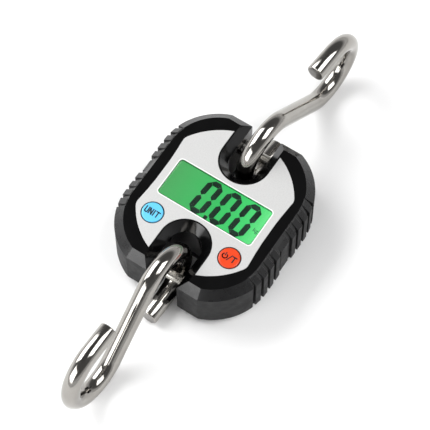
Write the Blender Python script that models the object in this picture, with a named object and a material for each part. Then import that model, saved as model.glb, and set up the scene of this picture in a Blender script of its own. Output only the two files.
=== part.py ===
"""Pocket hanging scale with two S-hooks, lying on its back.

Every driving size below is in millimetres. The frame has its origin on the surface under
the middle of the scale, +X to the right of the display, +Y towards the hook that the
scale hangs from, and +Z out of the display.
"""
import math

import bmesh
import bpy
from mathutils import Matrix, Vector

MM = 0.001

# --- Fits -------------------------------------------------------------------------------
GAP = 0.3            # clearance between pieces that touch on the real object
OVERCUT = 1.0        # how far a cutter runs past the face that it opens
EMBED = 0.4          # how far a rib, boss or wall runs into the piece it grows from

# --- Case -------------------------------------------------------------------------------
CASE_DEPTH = 30.0
SIDE_MARGIN = 14.1   # from the display window to the side of the case
SLOT_RUN = 19.5      # from the centre of a slot's round end to the end of the case
CORNER_RADIUS = 31.4
CORNER_DROP = 29.4   # from the end of the case to the centre of its corner arcs
FACE_CHAMFER_WIDTH = 4.4
FACE_CHAMFER_DEPTH = 4.0
BACK_CHAMFER = 4.0
SPLIT_Z = 4.0        # top of the back cover's rim, where the two covers meet
WALL = 2.2
SKIN = 1.9           # front cover under the label
FLOOR = 2.2          # back cover's plate
LIP_HEIGHT = 2.0
LIP_WALL = 1.2
ARC_STEPS = 10

# --- Grip ribs --------------------------------------------------------------------------
RIB_PITCH = 5.3
RIB_COUNT = 4
FIRST_RIB_Y = 7.0
GROOVE_WIDTH = 1.8
GROOVE_DEPTH = 1.4
GROOVE_REACH = 3.0   # how far a groove's cutter runs outside the case
GROOVE_SHOULDER = 0.4    # drop of a groove's chamfer, as a share of its depth
GROOVE_TOP = 0.2     # the same at the face, and the cutter's height over it
PAD_DROP = 0.8

# --- Hook slots -------------------------------------------------------------------------
SLOT_HALF_WIDTH = 8.35
SLOT_WALL = 1.6
DISPLAY_TO_SLOT = 3.3    # from the window to the funnel
FUNNEL_WIDTH = 3.95
FUNNEL_DEPTH = 4.4
FUNNEL_WALL = 1.9
FLARE_SLOPE = 0.75   # of the wall under the funnel
RIM_WIDTH = 0.5
SLOT_STEPS = 16

# --- Face label and display -------------------------------------------------------------
LABEL_THICKNESS = 0.5
LABEL_MARGIN = 10.1  # from the label's waist to the side of the case
LABEL_FLARE = ((0.0, 6.0), (0.3, 12.0))  # steps out from the waist, and how far up they are
LABEL_SHOULDER = 0.9   # from the waist out to the shoulder
LABEL_SHOULDER_RADIUS = 5.0
LABEL_CROWN_RADIUS = 37.75
LABEL_CROWN_INSET = (41.94, 24.17)  # the crown's centre, from the side and from the slot's centre
LABEL_CORNER_STEPS = 12
WINDOW_HALF_X = 26.3
WINDOW_HALF_Y = 10.7
WINDOW_RADIUS = 1.8
LENS_OVERLAP = 1.3
LENS_TRIM = 0.2      # less overlap above and below
LENS_THICKNESS = 1.0
LENS_DROP = 0.1      # middle of the lens below the label's face
WINDOW_EASE = 0.1    # more room round the window in the cover than in the label
LEDGE = 0.6
LCD_THICKNESS = 1.9
LCD_MARGIN = 1.6
BACKLIGHT_THICKNESS = 2.0
ZEBRA_WIDTH = 1.6
ZEBRA_INSET = 3.0
LCD_FRAME_WALL = 0.9

# --- Buttons ----------------------------------------------------------------------------
BUTTON_INSET = 18.7  # from the side of the case
BUTTON_DROP = 2.5    # below halfway from the window to the slot's centre
BUTTON_RADIUS = 5.2
BUTTON_PROUD = 0.4
BUTTON_EDGE = (0.4, 0.5)     # height and width of the cap's broken edge
BUTTON_FLANGE = 1.1
BUTTON_FLANGE_THICKNESS = 0.8
BUTTON_TRAVEL = 0.4
SWITCH_SIZE = 6.0
SWITCH_HEIGHT = 2.2
PLUNGER_RADIUS = 1.7
PLUNGER_SEAT = 1.2   # depth of the hole that the plunger runs in

# --- Circuit board ----------------------------------------------------------------------
BOARD_THICKNESS = 1.2
BOARD_MARGIN = 5.4   # from the board to the side of the case
BOARD_TOP_Y = 13.4
BOARD_SHOULDER_Y = 10.5
BOARD_BELOW_BUTTONS = 5.0
BOARD_POST_ROOM = 4.0   # least room from the lower case screws up to the board
BOARD_CORNERS = (6.0, 4.0, 5.0, 8.0)     # inset of the top, the waist and the two lower corners
BOARD_WAIST = 5.5    # from the shoulder down to the waist
BOARD_LOWER_CORNER = 2.0
BOARD_SLOT_CLEARANCE = (1.0, 1.2)    # from the slot's wall, at its sides and at its round end
BOARD_NOTCH = (7.5, 3.0)     # half-width of the notch's end, and height of its slope
BOARD_SCREW_INSET = 2.7
BOARD_SCREW_Y = 7.0
BOARD_POST_RADIUS = 2.2
BOARD_SCREW_RADIUS = 0.75
BOARD_SCREW_HEAD = 1.6
BOARD_SCREW_HEAD_HEIGHT = 1.2
BOARD_SCREW_EDGE = (0.32, 0.4)   # the head's broken edge
BOARD_SCREW_LENGTH = 4.5
CHIP_HEIGHT = 1.3
# Name, place and size of each chip, under the board.
CHIPS = (
    ("processor_chip", (18.0, 3.0), (7.0, 7.0)),
    ("converter_chip", (-17.0, 4.0), (6.0, 4.0)),
    ("memory_chip", (-17.0, -6.0), (5.0, 4.0)),
)
CRYSTAL_PLACE = (20.0, -8.0)
CRYSTAL_HALF = (4.0, 1.7)
CRYSTAL_RADIUS = 1.6
CRYSTAL_HEIGHT = 2.6

# --- Load path --------------------------------------------------------------------------
PIN_RUN = 11.8       # from the centre of the slot's round end to the pin
PIN_Z = 16.5
PIN_RADIUS = 2.5
PIN_HEAD_RADIUS = 3.7
PIN_HEAD = 1.4
PIN_GROOVE = 0.6
PIN_TIP = 1.0        # pin beyond its clip
CLIP_RADIUS = 3.6
CLIP_THICKNESS = 0.7
CLIP_OPENING = 35.0  # half of the clip's mouth, in degrees
COLLAR_RADIUS = 4.15
COLLAR_WIDTH = 1.2
YOKE_PLATE = 2.8
YOKE_HEIGHT = 9.0
YOKE_REACH = 3.5     # arm beyond the pin
CELL_HALF_WIDTH = 6.5
CELL_BOTTOM_Z = 14.4
CELL_HEIGHT = 5.2
CELL_SLOT_HALF_LENGTH = 5.0
CELL_SLOT_RADIUS = 1.3
GAUGE_HALF = (3.5, 4.0)
GAUGE_THICKNESS = 0.3
YOKE_SCREW_X = 4.0
YOKE_SCREW_RADIUS = 1.3
YOKE_SCREW_HEAD_RADIUS = 2.0
YOKE_SCREW_HEAD = 1.3
YOKE_SCREW_LENGTH = 4.0

# --- Hooks ------------------------------------------------------------------------------
ROD_RADIUS = 4.5
EYE_RADIUS = 16.9    # to the middle of the rod
BOWL_RADIUS = 18.0
HOOK_SPAN = 52.0     # from the eye's centre to the bowl's centre
EYE_TAIL = 12.4
BOWL_TAIL = 13.2
HOOK_ARC_STEPS = 22
# How each hook lies in its slot: from the pin out to the eye's centre, sideways shift,
# turn about Z, and lean about its own length.
UPPER_LIE = (3.3, 2.1, 4.0, 1.5)
LOWER_LIE = (7.8, -0.1, 2.1, 1.7)

# --- Batteries --------------------------------------------------------------------------
CELL_RADIUS = 5.25
CELL_LENGTH = 43.5
CELL_NUB = 1.0
CELL_NUB_RADIUS = 1.9
CELL_EDGE = 0.45     # broken edge of a battery's ends
CELL_SPACING = 0.6
SPRING_ROOM = 3.55   # half of the bay's length that the batteries leave
BAY_WALL = 1.2
BAY_ROOF = 1.0
CONTACT_THICKNESS = 0.5
CONTACT_HEIGHT = 8.0
CONTACT_WIDTH = 7.0
CONTACT_TAB = 2.0
TAB_RISE = 2.0       # from a battery's axis to its contact's tab
TAB_LENGTH = 1.4     # outside the bay
SPRING_WIRE = 0.45
SPRING_RADIUS = 2.6
SPRING_TURNS = 3.5
SPRING_STEPS = 12    # points in a turn
SPRING_TAPER = 0.35

# --- Battery door -----------------------------------------------------------------------
DOOR_THICKNESS = 1.65
DOOR_RECESS = 0.0    # flush with the back face
DOOR_MARGIN = 1.3    # around the battery bay
TONGUE_WIDTH = 0.8
TONGUE_THICKNESS = 0.7
GRIP_BARS = 4
GRIP_PITCH = 2.4
GRIP_HALF = (0.6, 6.0)
GRIP_DEPTH = 0.5

# --- Wires ------------------------------------------------------------------------------
WIRE_RADIUS = 0.6
# Steps of a battery lead from its tab up to the board: out, along and up.
LEAD_STEPS = ((0.2, 0.0, 3.0), (0.2, 0.6, 6.5))
LEAD_END = (-0.2, 0.8)
# Points of the gauge's lead: out from the cell, along it, and down from its top.
GAUGE_LEAD = ((0.0, 1.0, 0.6), (1.6, 1.2, 1.6), (3.2, 1.4, 1.4))
GAUGE_LEAD_END = (3.8, 1.5)

# --- Case screws ------------------------------------------------------------------------
SCREW_OUT = (18.0, 13.6)     # from the centre of the corner arc
BOSS_RADIUS = 3.2
SCREW_RADIUS = 1.15
SCREW_HEAD_RADIUS = 2.3
SCREW_HEAD = 1.6
SCREW_SINK = 0.4     # head below the back face
SCREW_LENGTH = 10.0
SCREW_EDGE = 0.3
DRIVE = (3.0, 0.7, 0.8)      # length, width and depth of the cross slots

# --- Sizes that follow from the ones above ----------------------------------------------
CASE_HALF_WIDTH = WINDOW_HALF_X + SIDE_MARGIN
FUNNEL_HALF_WIDTH = SLOT_HALF_WIDTH + FUNNEL_WIDTH
SLOT_CENTRE_Y = WINDOW_HALF_Y + DISPLAY_TO_SLOT + FUNNEL_HALF_WIDTH
CASE_HALF_LENGTH = SLOT_CENTRE_Y + SLOT_RUN
CORNER_CENTRE_X = CASE_HALF_WIDTH - CORNER_RADIUS
CORNER_CENTRE_Y = CASE_HALF_LENGTH - CORNER_DROP
PIN_Y = SLOT_CENTRE_Y + PIN_RUN
SCREW_X = CORNER_CENTRE_X + SCREW_OUT[0]
SCREW_Y = CORNER_CENTRE_Y + SCREW_OUT[1]
BUTTON_X = CASE_HALF_WIDTH - BUTTON_INSET
BUTTON_Y = -(WINDOW_HALF_Y + SLOT_CENTRE_Y) / 2 - BUTTON_DROP
LABEL_WAIST = CASE_HALF_WIDTH - LABEL_MARGIN
LABEL_CROWN_X = CASE_HALF_WIDTH - LABEL_CROWN_INSET[0]
LABEL_CROWN_Y = SLOT_CENTRE_Y - LABEL_CROWN_INSET[1]
BOARD_HALF_WIDTH = CASE_HALF_WIDTH - BOARD_MARGIN
BOARD_BOTTOM_Y = max(BUTTON_Y - BOARD_BELOW_BUTTONS, BOARD_POST_ROOM - SCREW_Y)
BOARD_SCREW_X = BOARD_HALF_WIDTH - BOARD_SCREW_INSET
BAY_HALF_LENGTH = (CELL_LENGTH + CELL_NUB) / 2 + SPRING_ROOM
CHAMFER_Z = CASE_DEPTH - FACE_CHAMFER_DEPTH
CAVITY_INSET = WALL + GROOVE_DEPTH
LABEL_TOP_Z = CASE_DEPTH
LABEL_BOTTOM_Z = LABEL_TOP_Z - LABEL_THICKNESS
RECESS_Z = LABEL_BOTTOM_Z - GAP
SKIN_Z = RECESS_Z - SKIN
LENS_HALF_X = WINDOW_HALF_X + LENS_OVERLAP
LENS_HALF_Y = WINDOW_HALF_Y + LENS_OVERLAP - LENS_TRIM
LENS_BOTTOM_Z = RECESS_Z - LENS_THICKNESS
LCD_TOP_Z = SKIN_Z - GAP
LCD_BOTTOM_Z = LCD_TOP_Z - LCD_THICKNESS
LCD_HALF_X = WINDOW_HALF_X + LCD_MARGIN
LCD_HALF_Y = WINDOW_HALF_Y + LCD_MARGIN
LIGHT_TOP_Z = LCD_BOTTOM_Z - GAP
LIGHT_BOTTOM_Z = LIGHT_TOP_Z - BACKLIGHT_THICKNESS
LIGHT_HALF_Y = LCD_HALF_Y - ZEBRA_WIDTH - GAP
BOARD_TOP_Z = LIGHT_BOTTOM_Z - GAP
BOARD_BOTTOM_Z = BOARD_TOP_Z - BOARD_THICKNESS
CELL_TOP_Z = CELL_BOTTOM_Z + CELL_HEIGHT
SLOT_END_Y = SLOT_CENTRE_Y - SLOT_HALF_WIDTH
YOKE_BASE_Y = SLOT_END_Y - SLOT_WALL - 1.5 * GAP
CELL_HALF_LENGTH = YOKE_BASE_Y - YOKE_PLATE - GAP
YOKE_INNER_X = SLOT_HALF_WIDTH + SLOT_WALL + GAP
YOKE_OUTER_X = YOKE_INNER_X + YOKE_PLATE
EYE_Z = ROD_RADIUS + EYE_RADIUS
BOWL_DROP = EYE_RADIUS - BOWL_RADIUS
BATTERY_Y = CELL_RADIUS + CELL_SPACING / 2
BAY_HALF_WIDTH = 2 * CELL_RADIUS + CELL_SPACING
DOOR_TOP_Z = DOOR_RECESS + DOOR_THICKNESS
BATTERY_Z = DOOR_TOP_Z + GAP + CELL_RADIUS
BAY_ROOF_Z = BATTERY_Z + CELL_RADIUS + GAP
TAB_Z = BATTERY_Z + TAB_RISE
DOOR_HALF_WIDTH = BAY_HALF_WIDTH + DOOR_MARGIN
DOOR_START_X = -(BAY_HALF_LENGTH + DOOR_MARGIN)
DOOR_END_X = CASE_HALF_WIDTH - GROOVE_DEPTH - BACK_CHAMFER

# --- Materials: colour, roughness, metallic ---------------------------------------------
FINISHES = {
    "black_abs": ((0.012, 0.012, 0.013), 0.22, 0.0),
    "label_film": ((0.76, 0.76, 0.75), 0.45, 0.0),
    "clear_plastic": ((0.75, 0.85, 0.80), 0.08, 0.0),
    "display_glass": ((0.05, 0.60, 0.20), 0.15, 0.0),
    "light_guide": ((0.85, 0.95, 0.85), 0.30, 0.0),
    "white_plastic": ((0.80, 0.80, 0.78), 0.40, 0.0),
    "pink_rubber": ((0.75, 0.35, 0.40), 0.60, 0.0),
    "blue_plastic": ((0.16, 0.68, 1.00), 0.30, 0.0),
    "orange_plastic": ((0.95, 0.08, 0.02), 0.30, 0.0),
    "board_green": ((0.02, 0.22, 0.08), 0.40, 0.0),
    "chip_black": ((0.02, 0.02, 0.02), 0.50, 0.0),
    "chrome_steel": ((0.78, 0.77, 0.75), 0.08, 1.0),
    "zinc_steel": ((0.62, 0.62, 0.60), 0.30, 1.0),
    "aluminium": ((0.80, 0.80, 0.80), 0.35, 1.0),
    "gauge_foil": ((0.70, 0.45, 0.15), 0.40, 0.0),
    "nickel": ((0.72, 0.70, 0.65), 0.22, 1.0),
    "battery_wrap": ((0.04, 0.10, 0.25), 0.35, 0.0),
    "red_wire": ((0.60, 0.02, 0.02), 0.45, 0.0),
    "black_wire": ((0.02, 0.02, 0.02), 0.45, 0.0),
    "grey_wire": ((0.35, 0.35, 0.36), 0.45, 0.0),
}


# =========================================================================================
# Outlines, in millimetres
# =========================================================================================
def arc_points(centre, radius, start, end, steps):
    """Points on an arc, with both ends, angles in degrees."""
    points = []
    for step in range(steps + 1):
        angle = math.radians(start + (end - start) * step / steps)
        points.append((centre[0] + radius * math.cos(angle), centre[1] + radius * math.sin(angle)))
    return points


def mirrored(quarter):
    """A whole outline from its first quarter, which runs from the +X side to the +Y end."""
    left = [(-x, y) for x, y in reversed(quarter)]
    upper = quarter + left
    lower = [(-x, -y) for x, y in upper]
    return upper + lower


def case_outline(inset):
    """The case seen from the front, moved inwards by inset."""
    radius = CORNER_RADIUS - inset
    end_y = CASE_HALF_LENGTH - inset
    stop = math.degrees(math.asin((end_y - CORNER_CENTRE_Y) / radius))
    return mirrored(arc_points((CORNER_CENTRE_X, CORNER_CENTRE_Y), radius, 0, stop, ARC_STEPS))


def side_x(y):
    """Half-width of the case at a distance y from its middle."""
    rise = max(0.0, abs(y) - CORNER_CENTRE_Y)
    return CORNER_CENTRE_X + math.sqrt(CORNER_RADIUS ** 2 - rise ** 2)


def slot_outline(half_width, outer_y):
    """The upper slot: a round end towards the display and straight sides out to outer_y."""
    points = arc_points((0, SLOT_CENTRE_Y), half_width, 180, 360, SLOT_STEPS)
    return points + [(half_width, outer_y), (-half_width, outer_y)]


def rounded_box(half_x, half_y, radius, steps=5):
    points = []
    for sign_x, sign_y, start in ((1, 1, 0), (-1, 1, 90), (-1, -1, 180), (1, -1, 270)):
        centre = (sign_x * (half_x - radius), sign_y * (half_y - radius))
        points += arc_points(centre, radius, start, start + 90, steps)
    return points


def label_outline(grow):
    """The label: a waist beside the display, shoulders, and points beside each slot."""
    cut = FUNNEL_HALF_WIDTH + RIM_WIDTH + GAP - grow
    crown = LABEL_CROWN_RADIUS + grow
    small = LABEL_SHOULDER_RADIUS + grow
    shoulder_x = LABEL_WAIST + LABEL_SHOULDER - LABEL_SHOULDER_RADIUS
    apart = LABEL_CROWN_RADIUS - LABEL_SHOULDER_RADIUS
    shoulder_y = LABEL_CROWN_Y + math.sqrt(apart ** 2 - (shoulder_x - LABEL_CROWN_X) ** 2)
    turn = math.degrees(math.atan2(shoulder_y - LABEL_CROWN_Y, shoulder_x - LABEL_CROWN_X))
    last = math.degrees(math.acos((cut - LABEL_CROWN_X) / crown))
    lobe = arc_points((shoulder_x, shoulder_y), small, 0, turn, LABEL_CORNER_STEPS // 2)
    lobe += arc_points((LABEL_CROWN_X, LABEL_CROWN_Y), crown, turn, last, LABEL_CORNER_STEPS)[1:]
    end = arc_points((0, SLOT_CENTRE_Y), cut, 0, -90, SLOT_STEPS // 2)
    waist = [(LABEL_WAIST + grow, 0.0)]
    waist += [(LABEL_WAIST + step + grow, y) for step, y in LABEL_FLARE]
    quarter = waist + lobe + end
    left = [(-x, y) for x, y in reversed(quarter[:-1])]
    upper = quarter + left[:-1]
    return upper + [(-x, -y) for x, y in upper]


# =========================================================================================
# Meshes and objects
# =========================================================================================
def clear_scene():
    for item in list(bpy.data.objects):
        bpy.data.objects.remove(item, do_unlink=True)


def finish_material(name):
    material = bpy.data.materials.get(name)
    if material:
        return material
    colour, roughness, metallic = FINISHES[name]
    material = bpy.data.materials.new(name)
    material.use_nodes = True
    shader = material.node_tree.nodes["Principled BSDF"]
    shader.inputs["Base Color"].default_value = (*colour, 1.0)
    shader.inputs["Roughness"].default_value = roughness
    shader.inputs["Metallic"].default_value = metallic
    material.diffuse_color = (*colour, 1.0)
    return material


def add_object(name, data, material=None, location=(0, 0, 0), smooth_angle=None):
    item = bpy.data.objects.new(name, data)
    item.location = Vector(location) * MM
    bpy.context.scene.collection.objects.link(item)
    if material:
        data.materials.append(finish_material(material))
    if smooth_angle is not None:
        data.shade_smooth()
        data.set_sharp_from_angle(angle=math.radians(smooth_angle))
    return item


def loft_mesh(name, loops):
    """A closed solid through outlines [(points, z), ...], all with the same point count."""
    mesh = bpy.data.meshes.new(name)
    shape = bmesh.new()
    rings = []
    for points, z in loops:
        rings.append([shape.verts.new((x * MM, y * MM, z * MM)) for x, y in points])
    count = len(rings[0])
    for low, high in zip(rings, rings[1:]):
        for index in range(count):
            after = (index + 1) % count
            shape.faces.new((low[index], low[after], high[after], high[index]))
    shape.faces.new(list(reversed(rings[0])))
    shape.faces.new(rings[-1])
    bmesh.ops.recalc_face_normals(shape, faces=shape.faces)
    shape.to_mesh(mesh)
    shape.free()
    return mesh


def prism_mesh(name, points, low, high):
    return loft_mesh(name, [(points, low), (points, high)])


def box_mesh(name, low, high):
    points = [(low[0], low[1]), (high[0], low[1]), (high[0], high[1]), (low[0], high[1])]
    return prism_mesh(name, points, low[2], high[2])


def turned_mesh(name, profile, axis="Z", steps=24):
    """A solid of revolution from [(radius, height), ...], bottom to top, about an axis."""
    mesh = bpy.data.meshes.new(name)
    shape = bmesh.new()
    rings = []
    for radius, height in profile:
        ring = []
        for step in range(steps):
            angle = math.tau * step / steps
            point = (radius * math.cos(angle), radius * math.sin(angle), height)
            ring.append(shape.verts.new(Vector(point) * MM))
        rings.append(ring)
    for low, high in zip(rings, rings[1:]):
        for step in range(steps):
            after = (step + 1) % steps
            shape.faces.new((low[step], low[after], high[after], high[step]))
    shape.faces.new(list(reversed(rings[0])))
    shape.faces.new(rings[-1])
    turn = {"X": Matrix.Rotation(math.pi / 2, 4, "Y"), "Y": Matrix.Rotation(-math.pi / 2, 4, "X"),
            "Z": Matrix.Identity(4)}[axis]
    bmesh.ops.transform(shape, matrix=turn, verts=shape.verts)
    bmesh.ops.recalc_face_normals(shape, faces=shape.faces)
    shape.to_mesh(mesh)
    shape.free()
    return mesh


def cylinder_mesh(name, radius, low, high, axis="Z", steps=24):
    return turned_mesh(name, [(radius, low), (radius, high)], axis, steps)


def tool(mesh, location=(0, 0, 0), flip=False):
    """A guide object that a Boolean uses; flip turns it half round Z, to the other end."""
    item = add_object("tool_" + mesh.name, mesh, location=location)
    item.hide_render = True
    item.display_type = "WIRE"
    if flip:
        item.matrix_world = Matrix.Rotation(math.pi, 4, "Z") @ Matrix.Translation(item.location)
    return item


def combine(target, operation, tool_item):
    modifier = target.modifiers.new(operation.lower(), "BOOLEAN")
    modifier.operation = operation
    modifier.solver = "EXACT"
    modifier.object = tool_item


def cut(target, mesh, location=(0, 0, 0), flip=False):
    combine(target, "DIFFERENCE", tool(mesh, location, flip))


def join(target, mesh, location=(0, 0, 0), flip=False):
    combine(target, "UNION", tool(mesh, location, flip))


def rod(name, points, radius, material, resolution=2):
    """A round bar along points, with flat closed ends."""
    curve = bpy.data.curves.new(name, "CURVE")
    curve.dimensions = "3D"
    curve.bevel_depth = radius * MM
    curve.bevel_resolution = resolution
    curve.use_fill_caps = True
    spline = curve.splines.new("POLY")
    spline.points.add(len(points) - 1)
    for place, point in zip(spline.points, points):
        place.co = (*(Vector(point) * MM), 1.0)
    return add_object(name, curve, material)


# =========================================================================================
# Case
# =========================================================================================
def slot_cutter(name, low, high):
    """The through slot with its funnel at the face."""
    outer = CASE_HALF_LENGTH + 10.0
    wide = FUNNEL_HALF_WIDTH + FUNNEL_WIDTH / FUNNEL_DEPTH * OVERCUT
    return loft_mesh(name, [
        (slot_outline(SLOT_HALF_WIDTH, outer), low),
        (slot_outline(SLOT_HALF_WIDTH, outer), CASE_DEPTH - FUNNEL_DEPTH),
        (slot_outline(wide, outer), high),
    ])


def add_slot_walls(cover):
    """Walls that close the case off around each slot, down to the back cover."""
    low = SPLIT_Z + GAP
    outer = CASE_HALF_LENGTH - WALL + EMBED
    flare_z = CASE_DEPTH - FUNNEL_DEPTH - FUNNEL_WALL
    wide = SLOT_HALF_WIDTH + SLOT_WALL
    flare = wide + (SKIN_Z + EMBED - flare_z) * FLARE_SLOPE
    for flip in (False, True):
        join(cover, loft_mesh("slot_wall", [
            (slot_outline(wide, outer), low),
            (slot_outline(wide, outer), flare_z),
            (slot_outline(flare, outer - 2 * EMBED), SKIN_Z + EMBED),
        ]), flip=flip)


def cut_pin_notches(cover):
    """Each slot wall is notched from the back, so that the load pin drops into it."""
    reach = YOKE_INNER_X + OVERCUT
    radius = PIN_RADIUS + GAP
    profile = [(-radius, SPLIT_Z - OVERCUT), (radius, SPLIT_Z - OVERCUT)]
    profile += arc_points((0, PIN_Z), radius, 0, 180, 12)
    for flip in (False, True):
        mesh = prism_mesh("pin_notch", profile, -reach, reach)
        mesh.transform(Matrix.Rotation(math.pi / 2, 4, "Z") @ Matrix.Rotation(math.pi / 2, 4, "X"))
        cut(cover, mesh, (0, PIN_Y, 0), flip)


def groove_profile(surface_x, depth):
    """A cut down the side wall and over the face chamfer, in X and Z."""
    return [
        (surface_x + GROOVE_REACH, SPLIT_Z - OVERCUT),
        (surface_x - depth, SPLIT_Z - OVERCUT),
        (surface_x - depth, CHAMFER_Z - GROOVE_SHOULDER * depth),
        (surface_x - FACE_CHAMFER_WIDTH - GROOVE_TOP * depth, CASE_DEPTH + GROOVE_TOP),
        (surface_x + GROOVE_REACH, CASE_DEPTH + GROOVE_TOP),
    ]


def cut_grooves(cover):
    middles = [FIRST_RIB_Y - RIB_PITCH / 2 + RIB_PITCH * step for step in range(RIB_COUNT + 1)]
    for side in (1, -1):
        for middle in [sign * y for y in middles for sign in (1, -1)]:
            profile = groove_profile(side_x(middle), GROOVE_DEPTH)
            mesh = prism_mesh("groove", profile, -GROOVE_WIDTH / 2, GROOVE_WIDTH / 2)
            mesh.transform(Matrix.Rotation(math.pi / 2, 4, "X"))
            cut(cover, mesh, (0, middle * side, 0), flip=side < 0)
        profile = groove_profile(CASE_HALF_WIDTH, PAD_DROP)
        half = middles[0] - GROOVE_WIDTH / 4
        mesh = prism_mesh("pad_face", profile, -half, half)
        mesh.transform(Matrix.Rotation(math.pi / 2, 4, "X"))
        cut(cover, mesh, flip=side < 0)


def corner_points(x, y):
    return [(sign_x * x, sign_y * y) for sign_y in (1, -1) for sign_x in (1, -1)]


def make_front_cover():
    outer = loft_mesh("front_cover", [
        (case_outline(0), SPLIT_Z + GAP),
        (case_outline(0), CHAMFER_Z),
        (case_outline(FACE_CHAMFER_WIDTH), CASE_DEPTH),
    ])
    cover = add_object("front_cover", outer, "black_abs")
    slope = FACE_CHAMFER_WIDTH / FACE_CHAMFER_DEPTH
    shoulder_z = CHAMFER_Z - GAP
    cut(cover, loft_mesh("cavity", [
        (case_outline(CAVITY_INSET), SPLIT_Z - OVERCUT),
        (case_outline(CAVITY_INSET), shoulder_z),
        (case_outline(CAVITY_INSET + slope * (SKIN_Z - shoulder_z)), SKIN_Z),
    ]))
    add_slot_walls(cover)
    for x, y in corner_points(SCREW_X, SCREW_Y):
        join(cover, cylinder_mesh("boss", BOSS_RADIUS, SPLIT_Z + GAP, SKIN_Z + EMBED), (x, y, 0))
    for x, y in corner_points(BOARD_SCREW_X, BOARD_SCREW_Y):
        low = BOARD_TOP_Z + GAP
        post = cylinder_mesh("post", BOARD_POST_RADIUS, low, SKIN_Z + EMBED, steps=16)
        join(cover, post, (x, y, 0))
    for flip in (False, True):
        cut(cover, slot_cutter("slot", SPLIT_Z - OVERCUT, CASE_DEPTH + OVERCUT), flip=flip)
    cut_pin_notches(cover)
    cut_grooves(cover)
    cut(cover, prism_mesh("label_recess", label_outline(GAP), RECESS_Z, CASE_DEPTH + OVERCUT))
    window = rounded_box(WINDOW_HALF_X + WINDOW_EASE, WINDOW_HALF_Y + WINDOW_EASE, WINDOW_RADIUS)
    cut(cover, prism_mesh("window", window, SKIN_Z - OVERCUT, CASE_DEPTH))
    pocket = rounded_box(LENS_HALF_X + GAP, LENS_HALF_Y + GAP, WINDOW_RADIUS)
    cut(cover, prism_mesh("lens_pocket", pocket, SKIN_Z + LEDGE, CASE_DEPTH))
    for side in (1, -1):
        hole = cylinder_mesh("button_hole", BUTTON_RADIUS + GAP, SKIN_Z - OVERCUT, CASE_DEPTH, steps=32)
        cut(cover, hole, (side * BUTTON_X, BUTTON_Y, 0))
    for x, y in corner_points(SCREW_X, SCREW_Y):
        depth = SCREW_SINK + SCREW_LENGTH + 2 * OVERCUT
        hole = cylinder_mesh("pilot", SCREW_RADIUS + GAP, SPLIT_Z - OVERCUT, depth, steps=12)
        cut(cover, hole, (x, y, 0))
    for x, y in corner_points(BOARD_SCREW_X, BOARD_SCREW_Y):
        low = BOARD_TOP_Z - OVERCUT
        hole = cylinder_mesh("board_pilot", BOARD_SCREW_RADIUS + GAP, low, SKIN_Z - EMBED, steps=10)
        cut(cover, hole, (x, y, 0))
    return cover


def add_battery_bay(cover):
    """An upturned box over the batteries, open to the door."""
    half_x = BAY_HALF_LENGTH + BAY_WALL
    half_y = BAY_HALF_WIDTH + BAY_WALL
    low = (-half_x, -half_y, FLOOR - EMBED)
    join(cover, box_mesh("bay", low, (half_x, half_y, BAY_ROOF_Z + BAY_ROOF)))
    low = (-BAY_HALF_LENGTH, -BAY_HALF_WIDTH, -OVERCUT)
    cut(cover, box_mesh("bay_space", low, (BAY_HALF_LENGTH, BAY_HALF_WIDTH, BAY_ROOF_Z)))


def cut_contact_slits(cover):
    """Slits in the bay's end wall for the tabs of the two wired contacts."""
    for side in (1, -1):
        half = CONTACT_TAB / 2 + GAP
        low = (BAY_HALF_LENGTH - OVERCUT, side * BATTERY_Y - half, TAB_Z - GAP)
        far = BAY_HALF_LENGTH + BAY_WALL + OVERCUT
        high = (far, side * BATTERY_Y + half, TAB_Z + CONTACT_THICKNESS + GAP)
        cut(cover, box_mesh("tab_slit", low, high))


def cut_door_seat(cover):
    """The recess that the door slides in, open towards +X, with a groove each side."""
    far = CASE_HALF_WIDTH + OVERCUT
    start = DOOR_START_X - GAP
    half = DOOR_HALF_WIDTH + GAP
    cut(cover, box_mesh("door_seat", (start, -half, -OVERCUT), (far, half, DOOR_TOP_Z + GAP)))
    groove = half + TONGUE_WIDTH
    low_z = DOOR_TOP_Z - TONGUE_THICKNESS - GAP
    cut(cover, box_mesh("door_groove", (start, -groove, low_z), (far, groove, DOOR_TOP_Z + GAP)))


def add_pin_keepers(cover):
    """Tongues that stand in the notches of the front cover and hold the load pins in."""
    inner = SLOT_HALF_WIDTH - EMBED
    outer = SLOT_HALF_WIDTH + SLOT_WALL - GAP / 2
    for side in (1, -1):
        for end in (1, -1):
            xs = sorted((side * inner, side * outer))
            ys = (end * PIN_Y - PIN_RADIUS, end * PIN_Y + PIN_RADIUS)
            top = PIN_Z - PIN_RADIUS - GAP
            join(cover, box_mesh("keeper", (xs[0], ys[0], SPLIT_Z - EMBED), (xs[1], ys[1], top)))


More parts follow.
